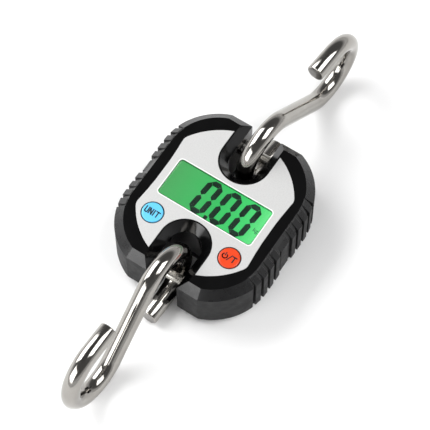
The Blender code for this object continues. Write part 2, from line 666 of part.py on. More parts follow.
def make_back_cover():
    rim = GROOVE_DEPTH
    lip = CAVITY_INSET + GAP
    plate = loft_mesh("back_cover", [
        (case_outline(rim + BACK_CHAMFER), 0),
        (case_outline(rim), SPLIT_Z),
        (case_outline(lip), SPLIT_Z),
        (case_outline(lip), SPLIT_Z + LIP_HEIGHT),
    ])
    cover = add_object("back_cover", plate, "black_abs")
    pocket = case_outline(lip + LIP_WALL)
    cut(cover, prism_mesh("pocket", pocket, FLOOR, SPLIT_Z + LIP_HEIGHT + OVERCUT))
    wide = SLOT_HALF_WIDTH + SLOT_WALL
    wall_end = CASE_HALF_LENGTH - lip - LIP_WALL / 2
    for flip in (False, True):
        wall = prism_mesh("slot_wall", slot_outline(wide, wall_end), FLOOR - EMBED, SPLIT_Z)
        join(cover, wall, flip=flip)
    for x, y in corner_points(SCREW_X, SCREW_Y):
        join(cover, cylinder_mesh("pad", BOSS_RADIUS, FLOOR - EMBED, SPLIT_Z), (x, y, 0))
    add_battery_bay(cover)
    add_pin_keepers(cover)
    slot = slot_outline(SLOT_HALF_WIDTH, CASE_HALF_LENGTH + OVERCUT)
    lip_gap = wide + GAP
    for flip in (False, True):
        cut(cover, prism_mesh("slot", slot, -OVERCUT, PIN_Z), flip=flip)
        low = (-lip_gap, PIN_Y + PIN_RADIUS + GAP, SPLIT_Z)
        high = (lip_gap, CASE_HALF_LENGTH, SPLIT_Z + LIP_HEIGHT + OVERCUT)
        cut(cover, box_mesh("lip_gap", low, high), flip=flip)
    cut_door_seat(cover)
    cut_contact_slits(cover)
    for x, y in corner_points(SCREW_X, SCREW_Y):
        seat_z = SCREW_SINK + SCREW_HEAD + GAP
        seat = cylinder_mesh("head_bore", SCREW_HEAD_RADIUS + GAP, -OVERCUT, seat_z, steps=20)
        cut(cover, seat, (x, y, 0))
        bore = cylinder_mesh("screw_bore", SCREW_RADIUS + GAP, -OVERCUT, SPLIT_Z + OVERCUT, steps=12)
        cut(cover, bore, (x, y, 0))
    return cover


def make_battery_door():
    low = (DOOR_START_X, -DOOR_HALF_WIDTH, DOOR_RECESS)
    plate = box_mesh("battery_door", low, (DOOR_END_X, DOOR_HALF_WIDTH, DOOR_TOP_Z))
    door = add_object("battery_door", plate, "black_abs")
    reach = DOOR_HALF_WIDTH + TONGUE_WIDTH
    low = (DOOR_START_X, -reach, DOOR_TOP_Z - TONGUE_THICKNESS)
    join(door, box_mesh("tongues", low, (BAY_HALF_LENGTH, reach, DOOR_TOP_Z)))
    for bar in range(GRIP_BARS):
        x = BAY_HALF_LENGTH + DOOR_MARGIN - GRIP_PITCH * bar
        low = (x - GRIP_HALF[0], -GRIP_HALF[1], -OVERCUT)
        cut(door, box_mesh("grip", low, (x + GRIP_HALF[0], GRIP_HALF[1], DOOR_RECESS + GRIP_DEPTH)))
    return door


# =========================================================================================
# Face: label, lens and display
# =========================================================================================
def make_face():
    sheet = prism_mesh("face_label", label_outline(0), LABEL_BOTTOM_Z, LABEL_TOP_Z)
    label = add_object("face_label", sheet, "label_film")
    window = rounded_box(WINDOW_HALF_X, WINDOW_HALF_Y, WINDOW_RADIUS)
    cut(label, prism_mesh("window", window, LABEL_BOTTOM_Z - OVERCUT, LABEL_TOP_Z + OVERCUT))
    for side in (1, -1):
        hole = cylinder_mesh("button_hole", BUTTON_RADIUS + GAP, LABEL_BOTTOM_Z - OVERCUT,
                             LABEL_TOP_Z + OVERCUT, steps=32)
        cut(label, hole, (side * BUTTON_X, BUTTON_Y, 0))
    outline = rounded_box(LENS_HALF_X, LENS_HALF_Y, WINDOW_RADIUS)
    plate = prism_mesh("display_lens", outline, LENS_BOTTOM_Z, RECESS_Z)
    lens = add_object("display_lens", plate, "clear_plastic")
    middle = rounded_box(WINDOW_HALF_X - GAP, WINDOW_HALF_Y - GAP, WINDOW_RADIUS)
    join(lens, prism_mesh("lens_middle", middle, RECESS_Z - EMBED, LABEL_TOP_Z - LENS_DROP))


def make_display():
    low = (-LCD_HALF_X, -LCD_HALF_Y, LCD_BOTTOM_Z)
    lower_glass = box_mesh("lcd_panel", low, (LCD_HALF_X, LCD_HALF_Y, LCD_TOP_Z))
    panel = add_object("lcd_panel", lower_glass, "display_glass")
    glass = rounded_box(WINDOW_HALF_X - GAP, WINDOW_HALF_Y - GAP, WINDOW_RADIUS)
    join(panel, prism_mesh("upper_glass", glass, LCD_TOP_Z - EMBED, LENS_BOTTOM_Z - GAP))
    low = (-LCD_HALF_X, -LIGHT_HALF_Y, LIGHT_BOTTOM_Z)
    high = (LCD_HALF_X, LIGHT_HALF_Y, LIGHT_TOP_Z)
    add_object("lcd_backlight", box_mesh("lcd_backlight", low, high), "light_guide")
    for name, side in (("upper_zebra_strip", 1), ("lower_zebra_strip", -1)):
        ys = sorted((side * (LIGHT_HALF_Y + GAP), side * LCD_HALF_Y))
        reach = LCD_HALF_X - ZEBRA_INSET
        strip = box_mesh(name, (-reach, ys[0], LIGHT_BOTTOM_Z), (reach, ys[1], LIGHT_TOP_Z))
        add_object(name, strip, "pink_rubber")
    inner_x = LCD_HALF_X + GAP
    inner_y = LCD_HALF_Y + GAP
    low = (-inner_x - LCD_FRAME_WALL, -inner_y - LCD_FRAME_WALL, LIGHT_BOTTOM_Z)
    high = (inner_x + LCD_FRAME_WALL, inner_y + LCD_FRAME_WALL, LCD_TOP_Z - GAP)
    frame = add_object("lcd_frame", box_mesh("lcd_frame", low, high), "white_plastic")
    low = (-inner_x, -inner_y, LIGHT_BOTTOM_Z - OVERCUT)
    cut(frame, box_mesh("frame_space", low, (inner_x, inner_y, LCD_TOP_Z + OVERCUT)))


# =========================================================================================
# Buttons and circuit board
# =========================================================================================
def make_button(name, side, material):
    """A cap, its switch and the switch's plunger. The cap's origin is on its sliding axis."""
    x = side * BUTTON_X
    flange_top = SKIN_Z - GAP
    flange_low = flange_top - BUTTON_FLANGE_THICKNESS
    top = CASE_DEPTH + BUTTON_PROUD
    flange = BUTTON_RADIUS + BUTTON_FLANGE
    profile = [(flange, 0), (flange, BUTTON_FLANGE_THICKNESS), (BUTTON_RADIUS, BUTTON_FLANGE_THICKNESS),
               (BUTTON_RADIUS, top - BUTTON_EDGE[0] - flange_low),
               (BUTTON_RADIUS - BUTTON_EDGE[1], top - flange_low)]
    add_object(name + "_button", turned_mesh(name + "_button", profile, steps=32), material,
               (x, BUTTON_Y, flange_low), smooth_angle=30)
    plunger_top = flange_low - GAP
    switch_low = BOARD_TOP_Z + GAP
    switch_top = switch_low + SWITCH_HEIGHT
    half = SWITCH_SIZE / 2
    body = box_mesh(name + "_switch", (x - half, BUTTON_Y - half, switch_low),
                    (x + half, BUTTON_Y + half, switch_top))
    switch = add_object(name + "_switch", body, "zinc_steel")
    seat = switch_top - PLUNGER_SEAT
    cut(switch, cylinder_mesh("plunger_hole", PLUNGER_RADIUS + GAP, seat, switch_top + OVERCUT, steps=16),
        (x, BUTTON_Y, 0))
    low = seat + GAP + BUTTON_TRAVEL
    plunger = cylinder_mesh(name + "_switch_plunger", PLUNGER_RADIUS, 0, plunger_top - low, steps=16)
    add_object(name + "_switch_plunger", plunger, "chip_black", (x, BUTTON_Y, low), smooth_angle=30)


def board_outline():
    """Notched round both slots, and narrower below the display."""
    side, end = BOARD_SLOT_CLEARANCE
    clear = SLOT_HALF_WIDTH + SLOT_WALL + side
    shoulder = SLOT_END_Y - SLOT_WALL - end
    top, waist, lower, bottom = [BOARD_HALF_WIDTH - inset for inset in BOARD_CORNERS]
    right = [
        (top, BOARD_TOP_Y),
        (BOARD_HALF_WIDTH, BOARD_SHOULDER_Y),
        (BOARD_HALF_WIDTH, -BOARD_SHOULDER_Y),
        (waist, -BOARD_SHOULDER_Y - BOARD_WAIST),
        (lower, BOARD_BOTTOM_Y + BOARD_LOWER_CORNER),
        (bottom, BOARD_BOTTOM_Y),
        (clear, BOARD_BOTTOM_Y),
        (clear, -shoulder - BOARD_NOTCH[1]),
        (BOARD_NOTCH[0], -shoulder),
    ]
    return right + [(-x, y) for x, y in reversed(right)]


def make_board():
    plate = prism_mesh("main_board", board_outline(), BOARD_BOTTOM_Z, BOARD_TOP_Z)
    board = add_object("main_board", plate, "board_green")
    for x, y in corner_points(BOARD_SCREW_X, BOARD_SCREW_Y):
        hole = cylinder_mesh("board_hole", BOARD_SCREW_RADIUS + GAP, BOARD_BOTTOM_Z - OVERCUT,
                             BOARD_TOP_Z + OVERCUT, steps=10)
        cut(board, hole, (x, y, 0))
    top = BOARD_BOTTOM_Z - GAP
    for name, (x, y), (size_x, size_y) in CHIPS:
        low = (x - size_x / 2, y - size_y / 2, top - CHIP_HEIGHT)
        high = (x + size_x / 2, y + size_y / 2, top)
        add_object(name, box_mesh(name, low, high), "chip_black")
    crystal = rounded_box(*CRYSTAL_HALF, CRYSTAL_RADIUS, steps=4)
    mesh = prism_mesh("clock_crystal", crystal, top - CRYSTAL_HEIGHT, top)
    add_object("clock_crystal", mesh, "nickel", (*CRYSTAL_PLACE, 0))


def make_board_screws():
    head_top = BOARD_BOTTOM_Z - GAP
    for index, (x, y) in enumerate(corner_points(BOARD_SCREW_X, BOARD_SCREW_Y), start=1):
        name = "board_screw_%d" % index
        head = BOARD_SCREW_HEAD_HEIGHT
        profile = [(BOARD_SCREW_HEAD - BOARD_SCREW_EDGE[0], 0), (BOARD_SCREW_HEAD, BOARD_SCREW_EDGE[1]),
                   (BOARD_SCREW_HEAD, head), (BOARD_SCREW_RADIUS, head),
                   (BOARD_SCREW_RADIUS, head + BOARD_SCREW_LENGTH)]
        add_object(name, turned_mesh(name, profile, steps=12), "zinc_steel", (x, y, head_top - head),
                   smooth_angle=30)


# =========================================================================================
# Load path: cell, yokes and pins
# =========================================================================================
def make_load_cell():
    low = (-CELL_HALF_WIDTH, -CELL_HALF_LENGTH, CELL_BOTTOM_Z)
    bar = box_mesh("load_cell", low, (CELL_HALF_WIDTH, CELL_HALF_LENGTH, CELL_TOP_Z))
    cell = add_object("load_cell", bar, "aluminium")
    length = CELL_SLOT_HALF_LENGTH - CELL_SLOT_RADIUS
    profile = arc_points((length, 0), CELL_SLOT_RADIUS, -90, 90, 8)
    profile += arc_points((-length, 0), CELL_SLOT_RADIUS, 90, 270, 8)
    reach = CELL_HALF_WIDTH + OVERCUT
    mesh = prism_mesh("cell_slot", profile, -reach, reach)
    mesh.transform(Matrix.Rotation(math.pi / 2, 4, "Z") @ Matrix.Rotation(math.pi / 2, 4, "X"))
    cut(cell, mesh, (0, 0, CELL_BOTTOM_Z + CELL_HEIGHT / 2))
    screw_z = CELL_BOTTOM_Z + CELL_HEIGHT / 2
    depth = YOKE_SCREW_LENGTH + GAP
    for x, end in corner_points(YOKE_SCREW_X, 1.0):
        ys = sorted((end * (CELL_HALF_LENGTH - depth), end * (CELL_HALF_LENGTH + OVERCUT)))
        hole = cylinder_mesh("cell_hole", YOKE_SCREW_RADIUS + GAP, ys[0], ys[1], "Y", 12)
        cut(cell, hole, (x, 0, screw_z))
    half_x, half_y = GAUGE_HALF
    low_z = CELL_TOP_Z + GAP
    foil = box_mesh("strain_gauge", (-half_x, -half_y, low_z), (half_x, half_y, low_z + GAUGE_THICKNESS))
    add_object("strain_gauge", foil, "gauge_foil")


def make_yoke(name, end):
    """A steel stirrup round the closed end of a slot, from the load cell to the pin."""
    low_z = PIN_Z - YOKE_HEIGHT / 2
    high_z = PIN_Z + YOKE_HEIGHT / 2
    base = YOKE_BASE_Y - YOKE_PLATE
    tip = PIN_Y + YOKE_REACH
    points = [(-YOKE_OUTER_X, base), (YOKE_OUTER_X, base), (YOKE_OUTER_X, tip), (YOKE_INNER_X, tip),
              (YOKE_INNER_X, YOKE_BASE_Y), (-YOKE_INNER_X, YOKE_BASE_Y), (-YOKE_INNER_X, tip),
              (-YOKE_OUTER_X, tip)]
    if end < 0:
        points = [(-x, -y) for x, y in points]
    yoke = add_object(name + "_yoke", prism_mesh(name + "_yoke", points, low_z, high_z), "zinc_steel")
    reach = YOKE_OUTER_X + OVERCUT
    cut(yoke, cylinder_mesh("pin_hole", PIN_RADIUS + GAP, -reach, reach, "X"), (0, end * PIN_Y, PIN_Z))
    screw_z = CELL_BOTTOM_Z + CELL_HEIGHT / 2
    head_y = YOKE_BASE_Y - YOKE_SCREW_HEAD - GAP
    for index, side in enumerate((1, -1), start=1):
        x = side * YOKE_SCREW_X
        ys = sorted((end * (base - OVERCUT), end * (YOKE_BASE_Y + OVERCUT)))
        bore = cylinder_mesh("bore", YOKE_SCREW_RADIUS + GAP, ys[0], ys[1], "Y", 12)
        cut(yoke, bore, (x, 0, screw_z))
        ys = sorted((end * (head_y - GAP), end * (YOKE_BASE_Y + OVERCUT)))
        sink = cylinder_mesh("sink", YOKE_SCREW_HEAD_RADIUS + GAP, ys[0], ys[1], "Y", 16)
        cut(yoke, sink, (x, 0, screw_z))
        stop = CELL_HALF_LENGTH - YOKE_SCREW_LENGTH + GAP
        profile = [(YOKE_SCREW_RADIUS, stop), (YOKE_SCREW_RADIUS, head_y),
                   (YOKE_SCREW_HEAD_RADIUS, head_y), (YOKE_SCREW_HEAD_RADIUS, head_y + YOKE_SCREW_HEAD)]
        if end < 0:
            profile = [(radius, -y) for radius, y in reversed(profile)]
        screw = "%s_yoke_screw_%d" % (name, index)
        place = (x, 0, screw_z)
        add_object(screw, turned_mesh(screw, profile, "Y", 12), "zinc_steel", place, smooth_angle=30)


def make_pin(name, end):
    """The bar that a hook's eye hangs on, with a head and a groove for its clip."""
    head_x = YOKE_OUTER_X + GAP
    clip_x = head_x + GAP
    tip_x = clip_x + CLIP_THICKNESS + GAP + PIN_TIP
    neck = PIN_RADIUS - PIN_GROOVE
    profile = [(PIN_HEAD_RADIUS, -head_x - PIN_HEAD), (PIN_HEAD_RADIUS, -head_x), (PIN_RADIUS, -head_x),
               (PIN_RADIUS, head_x), (neck, head_x), (neck, clip_x + CLIP_THICKNESS + GAP),
               (PIN_RADIUS, clip_x + CLIP_THICKNESS + GAP), (PIN_RADIUS, tip_x)]
    place = (0, end * PIN_Y, PIN_Z)
    bar = turned_mesh(name + "_pin", profile, "X", 20)
    add_object(name + "_pin", bar, "nickel", place, smooth_angle=30)
    inner = neck + GAP
    mouth = CLIP_OPENING
    outline = arc_points((0, 0), CLIP_RADIUS, mouth, 360 - mouth, 18)
    outline += arc_points((0, 0), inner, 360 - mouth, mouth, 18)
    mesh = prism_mesh(name + "_pin_clip", outline, clip_x, clip_x + CLIP_THICKNESS)
    mesh.transform(Matrix.Rotation(math.pi / 2, 4, "Y"))
    add_object(name + "_pin_clip", mesh, "zinc_steel", place)
    for side, word in ((-1, "left"), (1, "right")):
        xs = sorted((side * (SLOT_HALF_WIDTH - GAP), side * (SLOT_HALF_WIDTH - GAP - COLLAR_WIDTH)))
        collar_name = "%s_%s_collar" % (name, word)
        ring = cylinder_mesh(collar_name, COLLAR_RADIUS, xs[0], xs[1], "X", 20)
        collar = add_object(collar_name, ring, "nickel", place, smooth_angle=30)
        reach = SLOT_HALF_WIDTH + OVERCUT
        cut(collar, cylinder_mesh("collar_bore", PIN_RADIUS + GAP, -reach, reach, "X", 20), place)


# =========================================================================================
# Hooks
# =========================================================================================
def hook_path():
    """The rod's middle line in Y and Z, from the eye's tail to the tip, eye centre at zero."""
    bowl = (HOOK_SPAN, -BOWL_DROP)
    distance = math.hypot(*bowl)
    leave = math.degrees(math.atan2(bowl[1], bowl[0]) + math.acos((EYE_RADIUS + BOWL_RADIUS) / distance))
    path = [(EYE_TAIL, -EYE_RADIUS)]
    path += arc_points((0, 0), EYE_RADIUS, 270, leave, HOOK_ARC_STEPS)
    path += arc_points(bowl, BOWL_RADIUS, leave - 180, 90, HOOK_ARC_STEPS)
    path.append((bowl[0] - BOWL_TAIL, bowl[1] + BOWL_RADIUS))
    return [(0, y, z) for y, z in path]


def make_hook(name, end, lie):
    """An S-hook. Its origin is the centre of its eye, on its swing axis."""
    run, shift, turn, lean = lie
    hook = rod(name + "_hook", hook_path(), ROD_RADIUS, "chrome_steel", resolution=4)
    half_turn = 0 if end > 0 else math.pi
    place = Matrix.Translation(Vector((end * shift, end * (PIN_Y + run), EYE_Z)) * MM)
    pose = Matrix.Rotation(half_turn - math.radians(turn), 4, "Z")
    pose = pose @ Matrix.Rotation(math.radians(lean), 4, "Y")
    hook.matrix_world = place @ pose


# =========================================================================================
# Batteries, contacts and wires
# =========================================================================================
def make_battery(name, end):
    """A round cell lying along X, its raised contact towards end."""
    half = CELL_LENGTH / 2
    edge = CELL_EDGE
    profile = [(CELL_RADIUS - edge, -half), (CELL_RADIUS, -half + edge), (CELL_RADIUS, half - edge),
               (CELL_RADIUS - edge, half), (CELL_NUB_RADIUS, half), (CELL_NUB_RADIUS, half + CELL_NUB)]
    if end < 0:
        profile = [(radius, -height) for radius, height in reversed(profile)]
    contact = BAY_HALF_LENGTH - 2 * GAP - CONTACT_THICKNESS
    shift = end * (contact - GAP - CELL_NUB - half)
    place = (shift, end * BATTERY_Y, BATTERY_Z)
    add_object(name, turned_mesh(name, profile, "X", 24), "battery_wrap", place, smooth_angle=30)


def make_contacts():
    """Plates at the ends of the bay; the far one links the two batteries."""
    low_z = BATTERY_Z - CONTACT_HEIGHT / 2
    high_z = low_z + CONTACT_HEIGHT
    inner = BAY_HALF_LENGTH - GAP - CONTACT_THICKNESS
    outer = BAY_HALF_LENGTH - GAP
    link = BATTERY_Y + CONTACT_WIDTH / 2
    strip = box_mesh("link_contact", (-outer, -link, low_z), (-inner, link, high_z))
    add_object("link_contact", strip, "nickel")
    for name, side in (("positive_contact", 1), ("negative_contact", -1)):
        y = side * BATTERY_Y
        half = CONTACT_WIDTH / 2
        mesh = box_mesh(name, (inner, y - half, low_z), (outer, y + half, high_z))
        plate = add_object(name, mesh, "nickel")
        tab_half = CONTACT_TAB / 2
        low = (outer - EMBED, y - tab_half, TAB_Z)
        high = (BAY_HALF_LENGTH + BAY_WALL + TAB_LENGTH, y + tab_half, TAB_Z + CONTACT_THICKNESS)
        join(plate, box_mesh("tab", low, high))


def make_spring(name, side):
    """A conical contact spring between a plate and the flat end of a battery."""
    wall = BAY_HALF_LENGTH - 2 * GAP - CONTACT_THICKNESS
    far = CELL_LENGTH + CELL_NUB + GAP - wall
    start = side * (wall - SPRING_WIRE)
    end = side * (far + GAP + SPRING_WIRE)
    points = []
    steps = int(SPRING_TURNS * SPRING_STEPS)
    for step in range(steps + 1):
        share = step / steps
        angle = math.tau * SPRING_TURNS * share
        radius = SPRING_RADIUS * (1.0 - SPRING_TAPER * share)
        x = start + (end - start) * share
        y = -side * BATTERY_Y + radius * math.cos(angle)
        points.append((x, y, BATTERY_Z + radius * math.sin(angle)))
    rod(name, points, SPRING_WIRE, "nickel", resolution=1)


def make_wires():
    """Leads from the contacts and from the gauge up to the underside of the board."""
    top = BOARD_BOTTOM_Z - GAP
    x = BAY_HALF_LENGTH + BAY_WALL + TAB_LENGTH + GAP + WIRE_RADIUS
    for name, side, material in (("positive_wire", 1, "red_wire"), ("negative_wire", -1, "black_wire")):
        y = side * BATTERY_Y
        points = [(x, y, TAB_Z)]
        points += [(x + out, y + side * along, TAB_Z + up) for out, along, up in LEAD_STEPS]
        points.append((x + LEAD_END[0], y + side * LEAD_END[1], top))
        rod(name, points, WIRE_RADIUS, material, resolution=1)
    start = CELL_HALF_WIDTH + GAP + WIRE_RADIUS
    points = [(start + out, along, CELL_TOP_Z - down) for out, along, down in GAUGE_LEAD]
    points.append((start + GAUGE_LEAD_END[0], GAUGE_LEAD_END[1], top))
    rod("gauge_wires", points, WIRE_RADIUS, "grey_wire", resolution=1)


def make_case_screws():
    for index, (x, y) in enumerate(corner_points(SCREW_X, SCREW_Y), start=1):
        name = "case_screw_%d" % index
        profile = [(SCREW_HEAD_RADIUS - SCREW_EDGE, 0), (SCREW_HEAD_RADIUS, SCREW_EDGE),
                   (SCREW_HEAD_RADIUS, SCREW_HEAD), (SCREW_RADIUS, SCREW_HEAD), (SCREW_RADIUS, SCREW_LENGTH)]
        place = (x, y, SCREW_SINK)
        screw = add_object(name, turned_mesh(name, profile, steps=16), "zinc_steel", place, smooth_angle=30)
        length, width, depth = DRIVE
        for half_x, half_y in ((length / 2, width / 2), (width / 2, length / 2)):
            low = (x - half_x, y - half_y, SCREW_SINK - OVERCUT)
            cut(screw, box_mesh("drive", low, (x + half_x, y + half_y, SCREW_SINK + depth)))


def build():
    clear_scene()
    make_front_cover()
    make_back_cover()
    make_battery_door()
    make_face()
    make_display()
    make_board()
    make_board_screws()
    make_button("unit", -1, "blue_plastic")
    make_button("power", 1, "orange_plastic")
    make_load_cell()
    for name, end, lie in (("upper", 1, UPPER_LIE), ("lower", -1, LOWER_LIE)):
        make_yoke(name, end)
        make_pin(name, end)
        make_hook(name, end, lie)
    make_battery("battery_1", 1)
    make_battery("battery_2", -1)
    make_contacts()
    make_spring("battery_spring_1", -1)
    make_spring("battery_spring_2", 1)
    make_wires()
    make_case_screws()


build()
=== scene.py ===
"""Finished look of the pocket hanging scale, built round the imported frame.

Lengths below are in millimetres in the frame's axes: +X right of the display, +Y towards the
hook that the scale hangs from, +Z out of the display. MM turns them into metres.
"""
import math

import bmesh
import bpy
from mathutils import Matrix, Vector


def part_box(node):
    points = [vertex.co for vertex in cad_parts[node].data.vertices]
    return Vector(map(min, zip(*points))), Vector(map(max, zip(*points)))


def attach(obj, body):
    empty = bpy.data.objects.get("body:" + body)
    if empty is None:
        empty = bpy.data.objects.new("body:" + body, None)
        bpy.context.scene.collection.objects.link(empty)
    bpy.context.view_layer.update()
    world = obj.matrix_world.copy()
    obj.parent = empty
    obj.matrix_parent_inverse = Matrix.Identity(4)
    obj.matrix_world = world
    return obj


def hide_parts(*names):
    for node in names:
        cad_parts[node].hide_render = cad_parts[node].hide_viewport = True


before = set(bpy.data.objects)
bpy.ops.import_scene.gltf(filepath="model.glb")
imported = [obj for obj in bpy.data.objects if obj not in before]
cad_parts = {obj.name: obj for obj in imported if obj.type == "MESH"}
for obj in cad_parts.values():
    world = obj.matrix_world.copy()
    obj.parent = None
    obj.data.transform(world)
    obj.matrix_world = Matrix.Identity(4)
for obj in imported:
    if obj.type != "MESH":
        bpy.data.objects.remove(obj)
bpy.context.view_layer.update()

MM = 0.001

# --- Shapes that repeat the frame's own ---------------------------------------------------
CASE_HALF_WIDTH = 40.4
CASE_HALF_LENGTH = 45.8
CASE_DEPTH = 30.0
CORNER_RADIUS = 31.4
CORNER_CENTRE_Y = 16.4
CORNER_CENTRE_X = CASE_HALF_WIDTH - CORNER_RADIUS
CHAMFER_WIDTH = 4.4
CHAMFER_Z = 26.0
COVER_LOW_Z = 4.3
RIB_PITCH = 5.3
FIRST_RIB_Y = 7.0
RIB_COUNT = 4
RIB_WIDTH = 3.5
GROOVE_DEPTH = 1.4
PAD_DROP = 0.8
PAD_HALF = 3.45
SLOT_HALF_WIDTH = 8.35
SLOT_CENTRE_Y = 26.3
SLOT_WALL = 1.6
SLOT_WALL_STEP_Z = 23.7     # where the slot wall starts to widen towards the skin
FUNNEL_HALF_WIDTH = 12.3
FUNNEL_DEPTH = 4.4
CAVITY_INSET = 3.6
CAVITY_STEP_Z = 25.6        # where the cavity starts to narrow towards the skin
CAVITY_STEP = 1.9
LABEL_Z = (29.5, 30.0)
LABEL_CUT_Z = (28.0, 32.0)  # well below and above the label, for cutters
RECESS_Z = 29.2
SKIN_Z = 27.3
LABEL_WAIST = 30.3
LABEL_FLARE = ((0.0, 6.0), (0.3, 12.0))
LABEL_SHOULDER = (31.2, 5.0)     # how far out the shoulder is, and its radius
LABEL_CROWN = (-1.54, 2.13, 37.75)  # centre and radius of the long edge over it
WINDOW = (26.3, 10.7, 1.8)  # half width, half height and corner radius
LENS = (27.6, 11.8, 1.8)
BUTTON_X = 21.7
BUTTON_Y = -21.0
BUTTON_RADIUS = 5.2
BUTTON_FLANGE = (6.3, 0.8)   # radius and thickness
BUTTON_GAP = 0.3
BUTTON_TOP = 30.4
PIN_Y = 38.1
PIN_Z = 16.5
PIN_RADIUS = 2.5
ROD_RADIUS = 4.5
EYE_RADIUS = 16.9
BOWL_RADIUS = 18.0
HOOK_SPAN = 52.0
EYE_TAIL = 12.4
BOWL_TAIL = 13.2
# How each hook lies: from the pin out to its eye's centre, sideways shift, turn and lean.
UPPER_LIE = (3.3, 2.1, 4.0, 1.5)
LOWER_LIE = (7.8, -0.1, 2.1, 1.7)

# --- Details that the frame leaves out ----------------------------------------------------
# The broken edge of a rod's cut end: distance back from the flat, and inset from the side.
ROD_END = ((0.0, 0.55), (0.05, 0.38), (0.17, 0.2), (0.34, 0.07), (0.55, 0.0))
# The rounded edge of a button's cap: inset from its side, and drop from its top.
CAP_EDGE = ((0.0, 0.45), (0.05, 0.28), (0.2, 0.12), (0.45, 0.04), (0.8, 0.02))
DIGIT_MIDDLES = (-5.2, 5.8, 16.8)
DIGIT_HALF_WIDTH = 4.3
DIGIT_HALF_HEIGHT = 9.9
BAR_HALF_WIDTH = 1.4
BAR_GAP = 0.07
DIGIT_SLANT = 0.085
INK_LIFT = 0.01
INK_THICKNESS = 0.03
UNIT_STROKE = 0.64
POWER_STROKE = 0.56
T_STROKE = 0.62


# =========================================================================================
# Mesh helpers
# =========================================================================================
def new_object(name, mesh, materials=()):
    item = bpy.data.objects.new(name, mesh)
    bpy.context.scene.collection.objects.link(item)
    for material in materials:
        mesh.materials.append(material)
    return item


def finished(name, shape):
    """The mesh of a closed bmesh, its faces turned outwards."""
    bmesh.ops.recalc_face_normals(shape, faces=shape.faces)
    mesh = bpy.data.meshes.new(name)
    shape.to_mesh(mesh)
    shape.free()
    return mesh


def bridge(shape, low, high):
    """A band of quads between two rings of vertices."""
    count = len(low)
    for index in range(count):
        after = (index + 1) % count
        shape.faces.new((low[index], low[after], high[after], high[index]))


def loft(name, loops):
    """A closed solid through outlines [(points, z), ...] with equal point counts."""
    shape = bmesh.new()
    rings = [[shape.verts.new((x * MM, y * MM, z * MM)) for x, y in points] for points, z in loops]
    for low, high in zip(rings, rings[1:]):
        bridge(shape, low, high)
    shape.faces.new(list(reversed(rings[0])))
    shape.faces.new(rings[-1])
    return finished(name, shape)


def prism(name, points, low, high):
    return loft(name, [(points, low), (points, high)])


def turned(name, profile, steps=64):
    """A solid of revolution about Z from [(radius, height), ...], bottom to top."""
    shape = bmesh.new()
    rings = []
    for radius, height in profile:
        ring = []
        for step in range(steps):
            angle = math.tau * step / steps
            place = (radius * math.cos(angle) * MM, radius * math.sin(angle) * MM, height * MM)
            ring.append(shape.verts.new(place))
        rings.append(ring)
    for low, high in zip(rings, rings[1:]):
        bridge(shape, low, high)
    shape.faces.new(list(reversed(rings[0])))
    shape.faces.new(rings[-1])
    return finished(name, shape)


def combine(target, operation, mesh):
    """Cuts a mesh from the target, or joins it on, for good."""
    tool = new_object("tool", mesh)
    modifier = target.modifiers.new(operation, "BOOLEAN")
    modifier.operation = operation
    modifier.solver = "EXACT"
    modifier.object = tool
    bpy.context.view_layer.update()
    graph = bpy.context.evaluated_depsgraph_get()
    result = bpy.data.meshes.new_from_object(target.evaluated_get(graph))
    target.modifiers.clear()
    target.data = result
    bpy.data.objects.remove(tool, do_unlink=True)


def turned_round(mesh):
    """The mesh turned half round Z, for the other end of the scale."""
    mesh.transform(Matrix.Rotation(math.pi, 4, "Z"))
    return mesh


def soften(item, width, segments=3, angle=30.0, smooth=14.0):
    """Rounds the sharp edges, and shades what is left smooth."""
    item.data.shade_smooth()
    item.data.set_sharp_from_angle(angle=math.radians(smooth))
    modifier = item.modifiers.new("rounded_edges", "BEVEL")
    modifier.width = width * MM
    modifier.segments = segments
    modifier.limit_method = "ANGLE"
    modifier.angle_limit = math.radians(angle)
    modifier.harden_normals = True
    modifier.miter_outer = "MITER_ARC"


# =========================================================================================
# Outlines
# =========================================================================================
def arc(centre, radius, start, end, steps):
    points = []
    for step in range(steps + 1):
        angle = math.radians(start + (end - start) * step / steps)
        points.append((centre[0] + radius * math.cos(angle), centre[1] + radius * math.sin(angle)))
    return points


def mirrored(quarter):
    """A whole outline from its first quarter, which runs from the +X side to the +Y end."""
    upper = quarter + [(-x, y) for x, y in reversed(quarter)]
    return upper + [(-x, -y) for x, y in upper]


def side_x(y):
    """Half-width of the case at a distance y from its middle."""
    rise = max(0.0, abs(y) - CORNER_CENTRE_Y)
    return CORNER_CENTRE_X + math.sqrt(CORNER_RADIUS ** 2 - rise ** 2)


def case_outline(inset, relief=0.0, steps=36):
    """The case from the front, moved in by inset, and by relief more where the ribs stand."""
    radius = CORNER_RADIUS - inset
    end_y = CASE_HALF_LENGTH - inset
    rib_end = FIRST_RIB_Y - RIB_PITCH / 2 + RIB_PITCH * RIB_COUNT + (RIB_PITCH - RIB_WIDTH) / 2
    step_angle = math.degrees(math.asin((rib_end - CORNER_CENTRE_Y) / CORNER_RADIUS))
    stop = math.degrees(math.asin((end_y - CORNER_CENTRE_Y) / radius))
    centre = (CORNER_CENTRE_X, CORNER_CENTRE_Y)
    relieved = arc(centre, radius - relief, 0, step_angle, 8)
    full = arc(centre, radius, step_angle, stop, steps)
    return mirrored(relieved + full)


def slot_outline(half_width, outer_y, steps=40):
    """The upper slot: a round end towards the display and straight sides out to outer_y."""
    points = arc((0, SLOT_CENTRE_Y), half_width, 180, 360, steps)
    return points + [(half_width, outer_y), (-half_width, outer_y)]


def rounded_box(half_x, half_y, radius, steps=8):
    points = []
    for sign_x, sign_y, start in ((1, 1, 0), (-1, 1, 90), (-1, -1, 180), (1, -1, 270)):
        centre = (sign_x * (half_x - radius), sign_y * (half_y - radius))
        points += arc(centre, radius, start, start + 90, steps)
    return points


